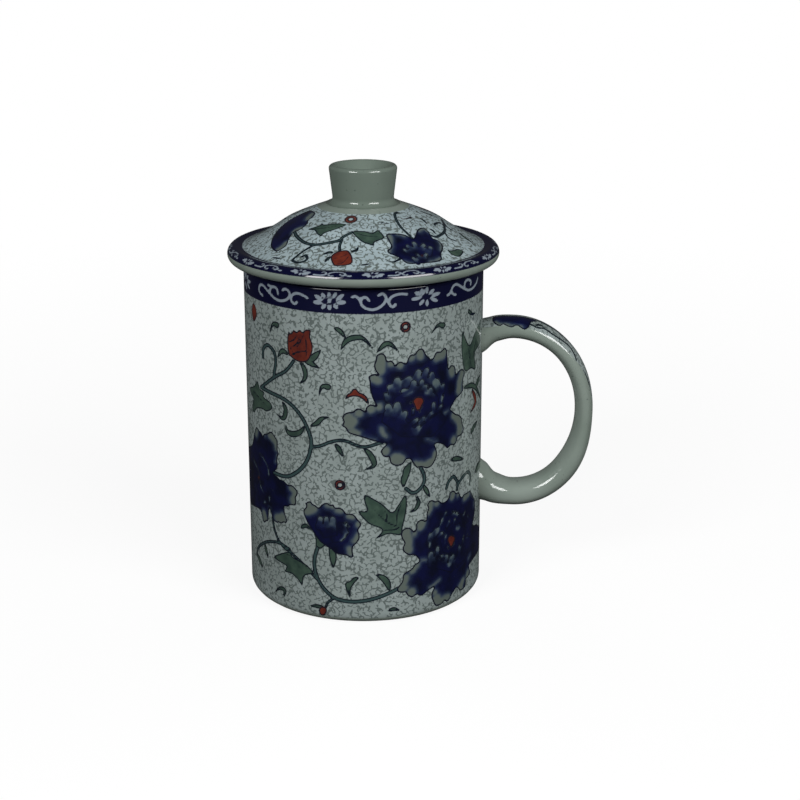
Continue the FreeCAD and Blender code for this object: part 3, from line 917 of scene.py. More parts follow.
# Filled outlines by layer
WALL_OUTLINES = {
    "red": (
        ((288.4, 331.5), (291, 333.4), (293.5, 329.6), (296.5, 332), (299.5, 329.3), (302.6, 332.2),
        (305.5, 329.6), (310.7, 330.3), (310.2, 337), (312.6, 345), (312, 353), (307.5, 361.2), (299, 362),
        (292.2, 358), (288.4, 353.6), (287.2, 342)),
        ((318.8, 611), (320.4, 607), (325, 607), (327, 610.4), (325.2, 614.8), (321.6, 616)),
        ((345.2, 400), (346.5, 394.5), (350.5, 392.4), (352.4, 389), (356.4, 388.8), (359.2, 392.2),
        (364.8, 394.6), (368.6, 399.6), (368.2, 405), (362.5, 399.4), (355.8, 396.6), (349.4, 397.4)),
    ),
    "leaf": (
        ((364.6, 494.6), (374, 499), (383, 504.5), (392.2, 512.2), (398, 505), (405.9, 494.6),
        (406.7, 509.1), (402.9, 526.7), (400.6, 535.1), (388.3, 534), (375.3, 539), (382.2, 529.8),
        (368.5, 523.7), (357.7, 511), (366.9, 511), (364.2, 501.5)),
        ((257.4, 381), (254, 386), (250, 387.4), (251, 393), (253.4, 399), (252.2, 407), (254, 412.6),
        (257, 408.6), (262, 409), (266.4, 411.6), (272.4, 408.6), (270, 402), (263.6, 397), (264.1, 392),
        (260, 389)),
        ((314, 574), (308, 566), (301, 561.4), (292.6, 556.6), (290, 552), (284, 552.4), (274, 556.4),
        (279, 561.4), (286.4, 566), (285, 571.4), (291.4, 573.6), (297.4, 579), (302.4, 586),
        (303.6, 577.4), (308, 574.6)),
        ((351.8, 601), (347, 592.6), (345, 583.4), (350, 580.6), (354, 577), (359.4, 577.6), (355.6, 582),
        (351.4, 588), (350.8, 594)),
        ((312.7, 529.8), (315.9, 533.4), (319, 537.4), (322.1, 533.8), (326.1, 533.4), (324.8, 539.6),
        (328.4, 541.9), (332.8, 546.3), (329.3, 547.4), (325.7, 545.4), (321.2, 548.6), (317.6, 547.7),
        (315.6, 545), (315.4, 538.8)),
        ((411, 461.6), (403.9, 467.6), (402, 475), (400.4, 481), (403.4, 488), (407.8, 479.4),
        (410.6, 471.4), (411.6, 465)),
        ((462.7, 330.6), (465.5, 338), (469.8, 345), (474.6, 333), (481, 318.5), (479.6, 334), (479.8, 343),
        (474.8, 353), (475.4, 369), (471, 368.4), (465.4, 371.4), (462.6, 362), (461.4, 345)),
    ),
}
# Strokes by layer and taper: half width, then points
WALL_STROKES = {
    ("vine", "even"): (
        (2.4, (261.6, 387.4), (284.5, 399.5), (300.5, 415.3), (310.1, 435.7), (310.7, 448.5),
        (306.2, 461.9), (297.9, 471.4), (286.5, 476.5), (273.7, 472.6)),
        (2, (311.6, 447), (320.3, 445.9), (332.4, 441.5), (345, 440.8), (363, 447), (383, 442)),
        (2.1, (293.5, 361.2), (285.8, 370.8), (275.6, 376.5), (260.9, 387.4)),
        (2.3, (273.8, 376.5), (275.7, 361), (273.5, 351), (267.5, 345), (263.4, 349), (263, 357)),
        (2.4, (317.8, 547), (314.5, 558.9), (315.3, 571.1), (320.2, 583.3), (330.2, 594.8), (340.9, 600.2),
        (356.2, 601.7), (371.5, 599.4), (386.8, 594.1), (399, 588)),
        (2, (272.4, 518), (275.4, 532.2), (281.5, 544.6), (291.8, 553.4), (304, 565), (316, 578)),
        (1.9, (289.8, 549.6), (279.4, 542.8), (267, 541.8), (259, 546.6), (256.8, 554.4)),
        (1.6, (333.3, 598.6), (327.9, 602.5), (325.4, 607.8)),
        (2.3, (420.6, 467.6), (424.2, 475.7), (423.3, 484), (417.1, 491.6), (411.6, 492.6), (406, 488.6)),
        (2.2, (446.4, 488), (448.8, 481.4), (453.6, 476.6), (457.6, 483), (457, 489.4)),
        (2.2, (457.6, 484.6), (463, 476.6), (467.6, 472), (470.4, 475.6), (469.4, 484)),
    ),
    ("leaf", "leaf"): (
        (3.6, (256.8, 552), (260, 560.6), (263.4, 568.4)),
        (3, (264.4, 542.6), (266.4, 551), (268.8, 559.4)),
        (2.9, (334.9, 443.4), (339.5, 450), (344.6, 459)),
        (3.4, (363, 447.6), (369.2, 453.3), (373.6, 461), (373.4, 466), (362, 471)),
        (3.2, (282, 400.5), (285.6, 410), (283.2, 418.4), (275.8, 413.6)),
        (3.5, (305.2, 425.4), (299.6, 432.4), (292, 434), (287, 430.6), (285.2, 422.4)),
        (3, (309.6, 426.4), (317.4, 422.8), (321.8, 418.6), (330.4, 417)),
        (3.2, (340.6, 350.5), (346, 341.2), (355.3, 337.6), (364.5, 339.6), (377, 354)),
        (2.7, (333.6, 327.6), (340.4, 331.4), (346.6, 340)),
        (2.9, (376.8, 352.4), (387.6, 343.4), (400.6, 353)),
        (2.8, (423, 484.4), (426.6, 491), (431, 498.6)),
        (2.6, (415.4, 494.4), (418.6, 502.4), (415, 509.6), (408, 512.2)),
        (5, (475.4, 471.4), (478, 466.4), (480.6, 460.4)),
        (3.4, (470.4, 434), (473.6, 427), (477.6, 420)),
        (4, (475.6, 386), (478, 381), (480, 375)),
        (3.2, (450.6, 459.6), (457.2, 458.6), (464.6, 459.2)),
        (2.6, (300.6, 528.4), (305.6, 525.8), (313, 531)),
        (4.2, (330.6, 546), (333, 557), (333, 569)),
        (3.8, (390, 591.6), (387, 582.4), (381.4, 577), (375, 574.6)),
        (2.4, (326, 608), (317, 606), (309, 606)),
        (2.4, (388, 611), (394, 609), (401, 611)),
        (2.6, (283.6, 596.6), (284.8, 591), (280.4, 588), (274, 592.6)),
        (3.8, (307.5, 361.6), (314, 357), (321.4, 349.4)),
        (3, (304, 360.6), (311, 363.6), (321, 369)),
        (3, (299.4, 360.6), (304.4, 369.4), (305, 378), (298.4, 385)),
        (2.9, (289, 354.8), (282, 351), (277, 358.6)),
        (3.2, (462.5, 388), (474, 386), (481, 402)),
    ),
    ("leaf", "comma"): (
        (3.4, (443, 325.4), (438, 325.4), (430, 335)),
        (3.4, (277, 325), (272.5, 324.6), (269, 336)),
        (3.5, (328, 387), (321.6, 387), (317.8, 400.6)),
        (2.6, (469, 311.5), (473, 314), (478, 310)),
    ),
    ("red", "leaf"): (
        (6, (253.6, 304.6), (254.2, 313), (253.6, 321.4)),
        (3.4, (471.4, 388), (475.4, 401), (469.6, 414)),
    ),
    ("ink", "leaf"): (
        (0.95, (403, 529), (385.3, 521), (370.4, 505)),
        (0.95, (397.4, 527), (397.6, 513), (404, 499)),
        (0.9, (387.4, 521), (386.4, 514), (383.6, 508)),
        (0.9, (399, 528.4), (391, 530.4), (381, 530)),
        (0.95, (311, 570), (298, 560), (283, 552)),
        (0.95, (251.6, 388.6), (258.6, 397), (268, 407)),
        (0.95, (471, 366), (469, 352), (464.6, 338)),
        (0.9, (472, 364), (475, 345), (479.6, 326)),
        (0.9, (287.6, 342.4), (294, 339.6), (297.6, 333.6)),
        (0.9, (290, 355.6), (296, 352.6), (303.3, 351.4), (309.6, 352.6)),
        (0.9, (303.6, 331.4), (306, 342), (306.6, 351), (305.4, 360)),
        (0.9, (291.4, 347), (296.6, 343.6), (300.6, 334)),
        (0.8, (296.4, 348), (300.6, 341), (303, 335)),
        (0.8, (288.8, 344), (291.4, 350), (294.6, 356)),
    ),
}
LID_OUTLINES = {
    "leaf": (
        ((308.4, 229.4), (319.8, 225.2), (322.2, 221.9), (324, 224.6), (335.9, 223.4), (346.7, 224.9),
        (335.9, 229.4), (330, 231.2), (323.4, 234.2), (321, 236.6), (316.8, 234.2), (314.4, 230.6)),
        ((352.1, 231.8), (364, 231.1), (372.1, 233.1), (378.2, 230.4), (384.3, 237.9), (374.8, 242.6),
        (374.1, 246), (368.1, 244.6), (361.7, 242), (356.3, 237.2)),
        ((444.5, 245.8), (447.5, 249.7), (451.9, 250.4), (458.7, 249), (463.4, 252.1), (459, 256.8),
        (450.5, 253.8)),
    ),
    "red": (
        ((330.6, 257.6), (333, 254), (338.9, 251), (347.3, 250.4), (350.9, 254), (352.7, 258.8),
        (352.1, 263), (347.3, 265.3), (335.9, 266.2), (332.3, 263.5)),
    ),
}
LID_STROKES = {
    ("vine", "even"): (
        (1.7, (294.6, 232.4), (297, 236.6), (303.6, 242), (312, 244.7), (321, 244.3), (337.7, 241),
        (343.1, 237.2), (352, 232.4)),
        (1.5, (314, 245), (303.6, 251), (295.8, 257), (292.7, 260.5), (297, 262.6), (303.4, 261.6),
        (307.2, 258.6), (305.5, 255.4), (301.8, 256.8)),
        (1.6, (341.9, 240.4), (339.7, 245.6), (339.7, 251.6)),
        (1.6, (412, 238.5), (401.9, 228.4), (396.5, 220.3), (394.8, 214.2), (397.4, 212.4)),
        (1.4, (441.8, 219.6), (444.5, 227), (443.8, 232.5), (437, 236.8), (431.6, 235.8)),
        (1.2, (444.4, 226), (440, 223), (435.4, 223.4), (434.6, 225.4)),
        (1.2, (444.2, 231.4), (448.5, 237.9), (455.3, 240.8)),
        (1.2, (442.6, 221), (447, 227), (452.8, 230.6)),
    ),
    ("vine", "comma"): (
        (1.4, (400.5, 258.8), (393.7, 261.9), (387, 260.9), (382.3, 255.2)),
    ),
    ("leaf", "leaf"): (
        (1.8, (333.4, 252.6), (328, 252.8), (322, 255)),
        (2, (331, 256.6), (327.6, 259), (324.4, 262.8)),
        (1.6, (349.8, 251.8), (356.3, 250.4), (358.6, 246)),
        (1.8, (419.6, 218), (423.5, 220.4), (427.4, 224.6)),
        (1.6, (429.6, 229.1), (433.4, 231), (435.4, 234.5)),
        (2.4, (419.4, 210.8), (428, 214), (438.5, 217.8)),
        (3, (458.7, 232.6), (465, 237.5), (474, 244)),
    ),
    ("red", "comma"): (
        (1.2, (411, 217.4), (404.6, 219), (397.1, 216.2)),
    ),
    ("ink", "leaf"): (
        (1.1, (271.8, 257.6), (277, 258.2), (282.8, 259.2)),
        (1, (376.8, 222.2), (384, 223.2), (391.8, 223.7)),
        (1.1, (360, 265.6), (366, 264.6), (371.6, 263.4)),
        (0.45, (309, 229.4), (324, 228.2), (344, 225.4)),
        (0.45, (354, 232.5), (366, 236), (383.4, 237.6)),
    ),
    ("ink", "even"): (
        (0.45, (333, 258.6), (340, 257.4), (346.6, 254.4)),
        (0.45, (336, 264.4), (343, 262.4), (348.6, 256.4)),
    ),
}
WALL_RINGS = ((340, 485.1), (405.5, 327))
LID_RING = (350.9, 219.5)
# Radius and half width
wall_ring = (3.9, 1.9)
lid_ring = (4.4, 2.3)

# The print on the handle: where its visible edge starts and ends, then what lies on it
HANDLE_PRINT = ((490.5, 322), (591, 405))
handle_print_half_widths = (5.8, 6.8, 2.4)
# Added to a distance in the photograph, so that no place is found on the hidden side
far_side = 50
HANDLE_BLOOM = {
    "outline": (
        (493, 317.5), (494.5, 323), (499, 326.6), (503.6, 324.6), (508, 326.8), (512.6, 327.4), (517, 326),
        (521, 327.6), (525, 329.6), (528.4, 326.6), (531, 322.6), (537, 321.6), (532, 317.6), (519, 315.6),
        (506, 315),
    ),
    "pale": (
        ((495, 322.6, 0.6), (500, 325.4, 0.8), (508, 325.6, 0.5)), ((513, 327, 0.2), (521, 327, 0.2)),
    ),
    "rows": (),
}
HANDLE_STROKES = {
    ("vine", "even"): (
        (1.3, (528, 323), (537, 328), (544, 328.6), (553, 335), (562, 341), (568, 345.4), (573, 352),
        (576.4, 360.4)),
    ),
    ("vine", "leaf"): (
        (2.2, (531, 317.6), (547, 323.4), (560, 332.4), (572, 346.6)),
        (1.2, (583, 368), (588, 380), (591.4, 396)),
    ),
    ("leaf", "leaf"): (
        (1.8, (535, 326), (540, 325.4), (545, 328)),
    ),
}

# The band's ornament: flowers and scrolls, as they stand in the photograph
flower_spacing = 34.4
far_flower_turn = math.radians(-103.8)
band_low = 106.0
# Where the worm ground starts above the wall's foot, and its two radii on the lid
ground_low = 2.0
lid_ground = (15.2, 41)
LOTUS = (
    (1.9, (329.5, 309.6), (329.3, 304.6)), (1.7, (321.6, 308.6), (326.1, 303.9)), (1.7, (337.7, 308.6),
    (332.9, 303.9)), (1.9, (312.9, 301.8), (323.2, 303.2)), (1.9, (346.1, 302.1), (335.7, 303.2)),
    (1.8, (314.3, 294.8), (323.6, 301.1)), (1.8, (343.9, 294.1), (335.4, 301.1)), (1.6, (321.2, 292.7),
    (326.1, 298.9)), (1.6, (336.4, 292.3), (332.3, 298.9)), (1.5, (328.9, 292), (329.1, 297.5)),
    (1.8, (329.3, 298.9), (329.3, 303.2)),
)
ROSETTE = (
    (1.7, (427.1, 286.8), (426.6, 294)), (1.7, (434.3, 289.1), (428.6, 294.6)), (1.7, (440.5, 292.9),
    (430.4, 295.7)), (1.7, (437.9, 301.1), (429.6, 298)), (1.7, (427.5, 306.1), (426.7, 299.4)),
    (1.7, (419.6, 305), (424.5, 299.1)), (1.7, (410.9, 299.6), (422.1, 297.6)), (1.7, (414.3, 292.1),
    (423, 295.5)), (1.7, (420.7, 288.9), (424.8, 294.6)),
)
SCROLL_A = (
    ((262.7, 295.7), (259.7, 292.1), (258.9, 288), (260.5, 284.6), (263.4, 285.7), (266.4, 289.4),
    (270.1, 293.7), (274.5, 298.1), (279.2, 300.5), (283.2, 300.6), (286.9, 299.3), (289.2, 296.4),
    (289.3, 292.7), (287.2, 289.7), (284.5, 288.9), (282.5, 290.2)),
    ((268.1, 284.8), (270.8, 286.4), (274.5, 287), (277.1, 289.4), (278, 294.2)),
    ((271.8, 286.7), (270.1, 289.4), (269.8, 293.1)),
    ((307.6, 298.1), (302.6, 295.1), (297.2, 293.3), (292.9, 294.4), (290.9, 297.7), (291.9, 301.8),
    (294.9, 303.8), (296.9, 302.1)),
)
SCROLL_B = (
    ((369, 300.7), (367.4, 298.5), (364.9, 297.3), (362.3, 298), (360.7, 301), (361.4, 304.6),
    (364.9, 307.9), (368.7, 309.3), (373.2, 309.7), (378.3, 308.1), (382.7, 304.9), (385.6, 301),
    (385.8, 297.2), (384, 294.5), (381.5, 293.7), (378.6, 295.6)),
    ((352, 297.1), (355.3, 296.3), (358.2, 298.2), (360.3, 301)),
    ((407.3, 294.3), (399.9, 294), (394.8, 295.3), (391, 297.5), (389, 301), (389.7, 304.6), (392.3, 306.9),
    (395, 305.8), (395.4, 304.2)),
)
SCROLL_C = (
    ((447.4, 295.3), (450.4, 293), (451.6, 289.4), (454, 285.3), (457.4, 284.4), (461.1, 286.6),
    (464.4, 288.6), (468.2, 290.1), (471.5, 289), (474.8, 285.7), (476.9, 281.6), (477.7, 277.8)),
    ((455.8, 294.9), (452.8, 293.6), (451.4, 290.6)),
    ((464.6, 287.8), (464.8, 283.2), (466.5, 280.3), (469.4, 279.9), (471.1, 282), (470.6, 284.5)),
)
scroll_half_width = 1.35
flower_fullness = 1.12


# A rounded tip is a tongue toward its root: its length and its half widths, in half widths of the tip
tip_length = 3.2
tip_width = 1.25
root_width = 1.4
thin_width = 1.2


def draw_bloom(canvas, place, bloom):
    """A peony: petals in rows, each over the one before, and a heart."""
    def brush(layer, marks, scale=1.0):
        widths = [mark[2] * scale * pixel for mark in marks]
        canvas.brush(layer, [place(mark[:2]) for mark in marks], widths)
    canvas.outline("petal_0", [place(point) for point in bloom["outline"]])
    for marks in bloom["pale"]:
        brush("pale_0", marks)
    for index, (tips, strokes, closing) in enumerate(bloom["rows"], 1):
        petal, pale = "petal_%d" % index, "pale_%d" % index
        canvas.draw(petal, [place(point) for point in closing], outline_distance)
        for x, y, width, *aim in tips:
            back = np.array(aim or np.mean(closing, 0)) - (x, y)
            root = (x, y) + back * tip_length * width / np.linalg.norm(back)
            brush(petal, [(x, y, width * tip_width), (*root, width * root_width)])
            canvas.tip(pale, place((x, y)), place(root), width * tip_width * pixel)
        for marks in strokes:
            brush(petal, marks, thin_width)
            brush(pale, marks)
    if "heart" in bloom:
        canvas.outline("red", [place(point) for point in bloom["heart"]])


def draw_scatter(canvas, place, outlines, strokes):
    for layer, shapes in outlines.items():
        for points in shapes:
            canvas.outline(layer, [place(point) for point in points])
    for (layer, taper), lines in strokes.items():
        for half_width, *points in lines:
            canvas.stroke(layer, [place(point) for point in points], half_width * pixel, taper)


def draw_ornament(canvas, place, scale, flowers, scrolls):
    """Part of the band's ornament, with line widths at a scale of the mug's."""
    for half_width, tip, foot in flowers:
        middle = ((tip[0] + foot[0]) / 2, (tip[1] + foot[1]) / 2)
        canvas.stroke("scroll", [place(point) for point in (tip, middle, foot)],
                      half_width * pixel * scale * flower_fullness, "leaf")
    for path in scrolls:
        canvas.stroke("scroll", [place(point) for point in path], scroll_half_width * pixel * scale)


def draw_wall(canvas):
    def place(point):
        return np.array(on_wall(point))
    for bloom in (BIG_PEONY, LOW_PEONY, LEFT_PEONY, BUD_PEONY):
        draw_bloom(canvas, place, bloom)
    draw_scatter(canvas, place, WALL_OUTLINES, WALL_STROKES)
    for point in WALL_RINGS:
        canvas.ring("red", place(point), wall_ring[0] * pixel, wall_ring[1] * pixel)
    draw_ornament(canvas, place, 1.0, LOTUS + ROSETTE, SCROLL_A + SCROLL_B + SCROLL_C)
    shift = np.array([far_flower_turn * mug_radius, 0])
    draw_ornament(canvas, lambda point: place(point) + shift, 1.0, ROSETTE, ())


# The lid's border carries a rosette and a scroll in turn, smaller and the other way up
border_inner_radius = 40.15
border_width = 5.9
ornament_radius = 44.4
ornament_height = band_low + 4.2
border_turn = 0.38
border_repeats = 12
border_scale = 2 * math.pi * ornament_radius / border_repeats / flower_spacing
border_rise = 0.36
border_line_scale = 0.56


def draw_lid(canvas):
    def place(point):
        return np.array(on_lid(point))
    for bloom in (LID_PEONY, LID_SIDE_BLOOM):
        draw_bloom(canvas, place, bloom)
    draw_scatter(canvas, place, LID_OUTLINES, LID_STROKES)
    canvas.ring("red", place(LID_RING), lid_ring[0] * pixel, lid_ring[1] * pixel)
    for repeat in range(border_repeats // 2):
        def on_border(point):
            around, height = on_wall(point)
            radius = ornament_radius + (height - ornament_height) * border_rise
            turn = front_azimuth + border_turn - around * border_scale / ornament_radius
            turn += repeat * 2 * math.pi / border_repeats
            return np.array([radius * math.cos(turn), radius * math.sin(turn)])
        draw_ornament(canvas, on_border, border_line_scale, ROSETTE, SCROLL_B)


def draw_handle(canvas, points, spots):
    """The print runs over the outward face. The hidden half of its width is a guess."""
    seen = in_photo(points)
    front = points[:, 1] <= 0

    def place(point):
        away = np.hypot(*(seen - point).T) + np.where(front, 0, far_side)
        return spots[int(np.argmin(away))]
    draw_bloom(canvas, place, HANDLE_BLOOM)
    draw_scatter(canvas, place, {}, HANDLE_STROKES)
    start, finish = place(HANDLE_PRINT[0])[0], place(HANDLE_PRINT[1])[0]
    strip = [(start, 0), ((start + finish) / 2, 0), (finish, 0)]
    canvas.brush("decal", [np.array(point, float) for point in strip], list(handle_print_half_widths))


def make_mug_body():
    def printed(point):
        return point[0] > mug_radius - 0.01
    rows = with_rows(mug_section(), wall_step, printed)
    piece, points = turned_piece("mug_body_glazed", rows, mug_columns)
    outer = np.nonzero((np.hypot(points[:, 0], points[:, 1]) > mug_radius - 1.5)
                       & (np.abs(points[:, 2]) < mug_height + 1))[0]
    around = mug_radius * (np.arctan2(points[outer, 1], points[outer, 0]) - front_azimuth)
    spots = np.stack([around, points[outer, 2]], 1)
    period = math.pi * mug_radius

    def offsets(spots, middle):
        offset = spots - middle
        offset[:, 0] = (offset[:, 0] + period / 2) % period - period / 2
        return offset
    canvas = Canvas(spots, offsets)
    draw_wall(canvas)
    canvas.fields["decal"] = np.clip(ground_low - spots[:, 1], -FAR, FAR)
    canvas.fields["band"] = np.clip(band_low - spots[:, 1], -FAR, FAR)
    store(piece, canvas, outer)
    return piece


def handle_centreline():
    """The middle of the handle in the plane y = 0, with its straight tails, and the distance along it."""
    upper_root = np.array([mug_radius - handle_root_sink, mug_height - handle_upper_root_drop])
    lower_root = np.array([mug_radius - handle_root_sink, handle_lower_root_height])
    half_span = (upper_root[1] - lower_root[1]) / 2
    far = np.array([mug_radius + handle_reach, lower_root[1] + half_span])
    upper = bezier([upper_root, upper_root + handle_upper_pull, far + [0, handle_upper_fullness * half_span],
                    far], 300)
    lower = bezier([far, far - [0, handle_lower_fullness * half_span], lower_root + handle_lower_pull,
                    lower_root], 300)
    path = np.vstack([upper, lower[1:]])
    steps = np.linalg.norm(np.diff(path, axis=0), axis=1)
    distance = np.concatenate([[0], np.cumsum(steps)])
    total = distance[-1]
    wanted = np.linspace(-handle_root_tail, total + handle_root_tail, 500)
    inside = np.clip(wanted, 0, total)
    middle = np.stack([np.interp(inside, distance, path[:, axis]) for axis in (0, 1)], 1)
    tangents = np.gradient(path, distance, axis=0)
    tangent = np.stack([np.interp(inside, distance, tangents[:, axis]) for axis in (0, 1)], 1)
    tangent /= np.linalg.norm(tangent, axis=1)[:, None]
    return middle + tangent * (wanted - inside)[:, None], tangent, wanted, inside / total


def handle_sizes(shares):
    """Thickness and width at shares of the centreline, eased from station to station."""
    stations = np.array(handle_stations)
    index = np.clip(np.searchsorted(stations[:, 0], shares, side="left") - 1, 0, len(stations) - 2)
    before, after = stations[index], stations[index + 1]
    blend = np.clip((shares - before[:, 0]) / (after[:, 0] - before[:, 0]), 0, 1)
    ease = (blend * blend * (3 - 2 * blend))[:, None]
    return (before + ease * (after - before))[:, 1:].T


def in_photo(points):
    """Where points of the object, in millimetres, stand in the photograph."""
    away = points - np.array(camera_place) / MM
    depth = away @ np.array(forward)
    across, up = away @ np.array(rightward), away @ np.array(upward)
    half = PHOTO_SIZE / 2
    return np.stack([half + focal_pixels * across / depth, half - focal_pixels * up / depth], 1)


def make_mug_handle():
    middle, tangent, distance, shares = handle_centreline()
    outward = np.stack([-tangent[:, 1], tangent[:, 0]], 1)
    thickness, width = handle_sizes(shares)
    power = 2 / handle_squareness
    lines = []
    marks = []
    for column in range(handle_columns):
        turn = 2 * math.pi * column / handle_columns
        along = math.copysign(abs(math.cos(turn)) ** power, math.cos(turn))
        across = math.copysign(abs(math.sin(turn)) ** power, math.sin(turn))
        plane = middle + outward * (along * thickness / 2)[:, None]
        line = np.stack([plane[:, 0], across * width / 2, plane[:, 1]], 1)
        clear = np.nonzero(np.hypot(line[:, 0], line[:, 1]) > mug_radius - handle_bury)[0]
        wanted = np.linspace(clear[0], clear[-1], handle_rings)
        every = np.arange(len(line))
        lines.append(np.stack([np.interp(wanted, every, line[:, axis]) for axis in range(3)], 1))
        signed = (turn + math.pi) % (2 * math.pi) - math.pi
        round_from_top = signed / math.pi * (thickness + width) * handle_girth
        marks.append(np.stack([np.interp(wanted, every, distance),
                               np.interp(wanted, every, round_from_top)], 1))
    points = np.stack(lines, 1).reshape(-1, 3)
    spots = np.stack(marks, 1).reshape(-1, 2)
    corner = np.arange(handle_columns)
    faces = ring_faces(handle_rings, np.roll(corner, -1), corner)
    last = (handle_rings - 1) * handle_columns
    faces.append(corner.tolist())
    faces.append((last + corner[::-1]).tolist())
    piece = new_piece("mug_handle_glazed", points, faces)
    canvas = Canvas(spots, lambda spots, middle: spots - middle)
    draw_handle(canvas, points, spots)
    store(piece, canvas, np.arange(len(points)))
    return piece


def make_lid():
    top = with_rows(lid_top, lid_step, lambda point: crown_radius <= point[0])
    rows = np.vstack([top, with_rows(lid_under_section(), lid_step, lambda point: False)])
    piece, points = turned_piece("lid_glazed", rows[::-1], lid_columns)
    radii = np.hypot(points[:, 0], points[:, 1])
    ceiling = np.interp(radii, lid_top[:, 0], lid_top[:, 1], right=0)
    over_edge = (radii > lid_edge_centre) & (points[:, 2] > lid_edge_height - 1)
    outer = np.nonzero((points[:, 2] > ceiling - 0.5) & (points[:, 2] > seat_height + 1.5) | over_edge)[0]
    turned_down = np.arctan2(radii - lid_edge_centre, points[:, 2] - lid_edge_height)
    unrolled = np.where(over_edge, lid_edge_centre + lid_edge_radius * turned_down, radii)[outer]
    spots = points[outer, :2] * (unrolled / np.maximum(radii[outer], 1e-6))[:, None]

    def offsets(spots, middle):
        near, turned = spots - middle, -spots - middle
        closer = (near ** 2).sum(1) < (turned ** 2).sum(1)
        return np.where(closer[:, None], near, turned)
    canvas = Canvas(spots, offsets)
    draw_lid(canvas)
    canvas.fields["decal"] = np.clip(
        np.maximum(lid_ground[0] - unrolled, unrolled - lid_ground[1]), -FAR, FAR)
    canvas.fields["band"] = np.clip(
        np.maximum(border_inner_radius - unrolled, unrolled - border_inner_radius - border_width), -FAR, FAR)
    store(piece, canvas, outer)
    return piece


# Stage: a plain pale floor, a white background, two soft lamps in front and two weak ones behind

def make_stage():
    mesh = bpy.data.meshes.new("floor")
    span = 3.0
    mesh.from_pydata([(-span, -span, 0), (span, -span, 0), (span, span, 0), (-span, span, 0)],
                     [], [(0, 1, 2, 3)])
    floor = bpy.data.objects.new("floor", mesh)
    bpy.context.scene.collection.objects.link(floor)
    material = bpy.data.materials.new("pale_floor")
    material.use_nodes = True
    tree = material.node_tree
    plain = tree.nodes["Principled BSDF"]
    plain.inputs["Roughness"].default_value = 0.9
    glow = tree.nodes.new("ShaderNodeEmission")
    mix = tree.nodes.new("ShaderNodeMixShader")
    path = tree.nodes.new("ShaderNodeLightPath")
    seen = tree.nodes.new("ShaderNodeMix")
    seen.data_type = "RGBA"
    seen.inputs[6].default_value = FLOOR_DARK
    seen.inputs[7].default_value = FLOOR_PALE
    tree.links.new(path.outputs["Is Camera Ray"], seen.inputs[0])
    tree.links.new(seen.outputs[2], plain.inputs["Base Color"])
    share = tree.nodes.new("ShaderNodeMath")
    share.operation = "MULTIPLY"
    place = tree.nodes.new("ShaderNodeTexCoord")
    reach = tree.nodes.new("ShaderNodeVectorMath")
    reach.operation = "LENGTH"
    tree.links.new(place.outputs["Object"], reach.inputs[0])
    fade = tree.nodes.new("ShaderNodeMapRange")
    for value, socket in zip((0.12, 0.6, 0.88, 1.0), list(fade.inputs)[1:5]):
        socket.default_value = value
    tree.links.new(reach.outputs["Value"], fade.inputs[0])
    tree.links.new(fade.outputs[0], share.inputs[1])
    tree.links.new(path.outputs["Is Camera Ray"], share.inputs[0])
    tree.links.new(share.outputs[0], mix.inputs[0])
    tree.links.new(plain.outputs[0], mix.inputs[1])
    tree.links.new(glow.outputs[0], mix.inputs[2])
    tree.links.new(mix.outputs[0], tree.nodes["Material Output"].inputs["Surface"])
    mesh.materials.append(material)


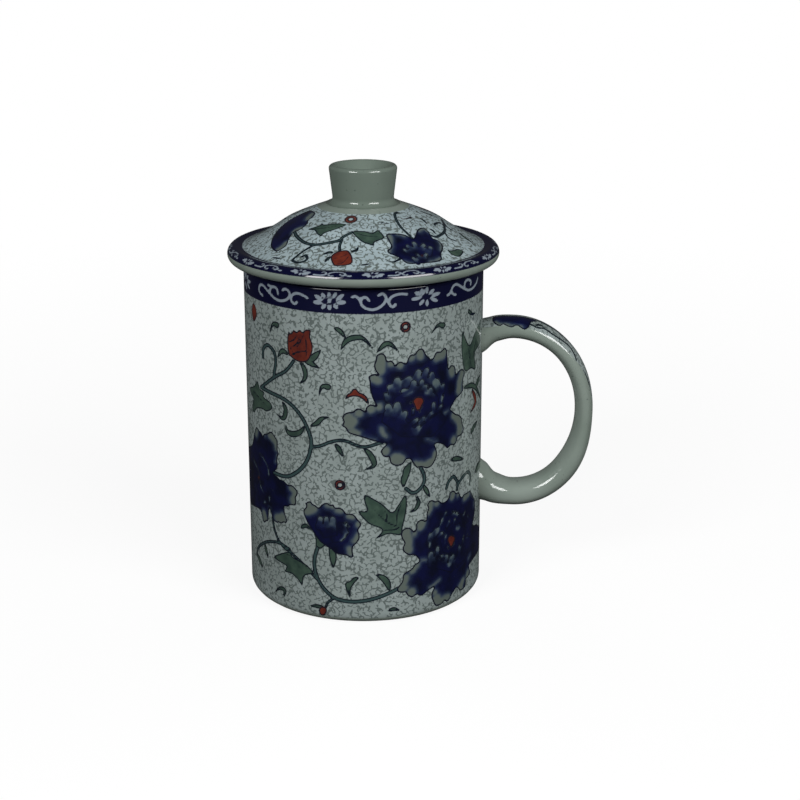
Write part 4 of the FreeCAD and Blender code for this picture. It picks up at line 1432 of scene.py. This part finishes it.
def make_world():
    world = bpy.data.worlds.new("studio")
    bpy.context.scene.world = world
    world.use_nodes = True
    tree = world.node_tree
    soft = tree.nodes["Background"]
    soft.inputs["Color"].default_value = (1, 1, 1, 1)
    soft.inputs["Strength"].default_value = 0.04
    white = tree.nodes.new("ShaderNodeBackground")
    white.inputs["Strength"].default_value = 1.0
    white.inputs["Color"].default_value = (1, 1, 1, 1)
    mix = tree.nodes.new("ShaderNodeMixShader")
    path = tree.nodes.new("ShaderNodeLightPath")
    tree.links.new(path.outputs["Is Camera Ray"], mix.inputs[0])
    tree.links.new(soft.outputs[0], mix.inputs[1])
    tree.links.new(white.outputs[0], mix.inputs[2])
    tree.links.new(mix.outputs[0], tree.nodes["World Output"].inputs["Surface"])


def make_lamp(name, azimuth, elevation, distance, size, power, mirrored=True):
    data = bpy.data.lights.new(name, "AREA")
    data.shape = "RECTANGLE"
    data.size, data.size_y = size
    data.energy = power
    lamp = bpy.data.objects.new(name, data)
    bpy.context.scene.collection.objects.link(lamp)
    a, e = math.radians(azimuth), math.radians(elevation)
    back = Vector((math.sin(a) * math.cos(e), -math.cos(a) * math.cos(e), math.sin(e)))
    lamp.location = Vector((0, 0, 0.08)) + back * distance
    lamp.rotation_euler = (-back).to_track_quat("-Z", "Y").to_euler()
    lamp.visible_glossy = mirrored


make_camera()
make_stage()
make_world()
make_lamp("left_softbox", -32, 28, 1.0, (0.45, 0.36), 7.9)
make_lamp("right_softbox", 45, 28, 1.0, (0.60, 0.36), 8.9)
make_lamp("back_left_fill", -140, 6, 1.0, (0.5, 0.3), 5.0, mirrored=False)
make_lamp("back_right_fill", 140, 6, 1.0, (0.5, 0.3), 5.0, mirrored=False)
bpy.context.scene.view_settings.view_transform = "Standard"

plain = plain_glaze("celadon_glaze", CELADON, CELADON_DEEP)
# The knob's glaze carries painted shade: a darker copy of the celadon
knob_shaded_plain = plain_glaze("knob_shaded_glaze", KNOB_CELADON_SHADED, KNOB_CELADON_SHADED_DEEP)
printed = printed_glaze("printed_glaze", GROUND, GROUND_SHADE)
# The lid's print lies on a ground with painted light and a painted sheen
lid_printed_lit = printed_glaze("lid_printed_glaze", LID_GROUND_LIT, LID_GROUND_LIT_SHADE)

mug_body = make_mug_body()
mug_body.data.materials.append(printed)
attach(mug_body, "mug")
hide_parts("mug_body")

mug_handle = make_mug_handle()
mug_handle.data.materials.append(printed)
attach(mug_handle, "mug")
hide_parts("mug_handle")

lid = make_lid()
lid.data.materials.append(lid_printed_lit)
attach(lid, "lid")
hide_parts("lid")

for node, glaze in (("infuser", plain), ("lid_knob", knob_shaded_plain)):
    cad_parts[node].data.materials.clear()
    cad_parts[node].data.materials.append(glaze)
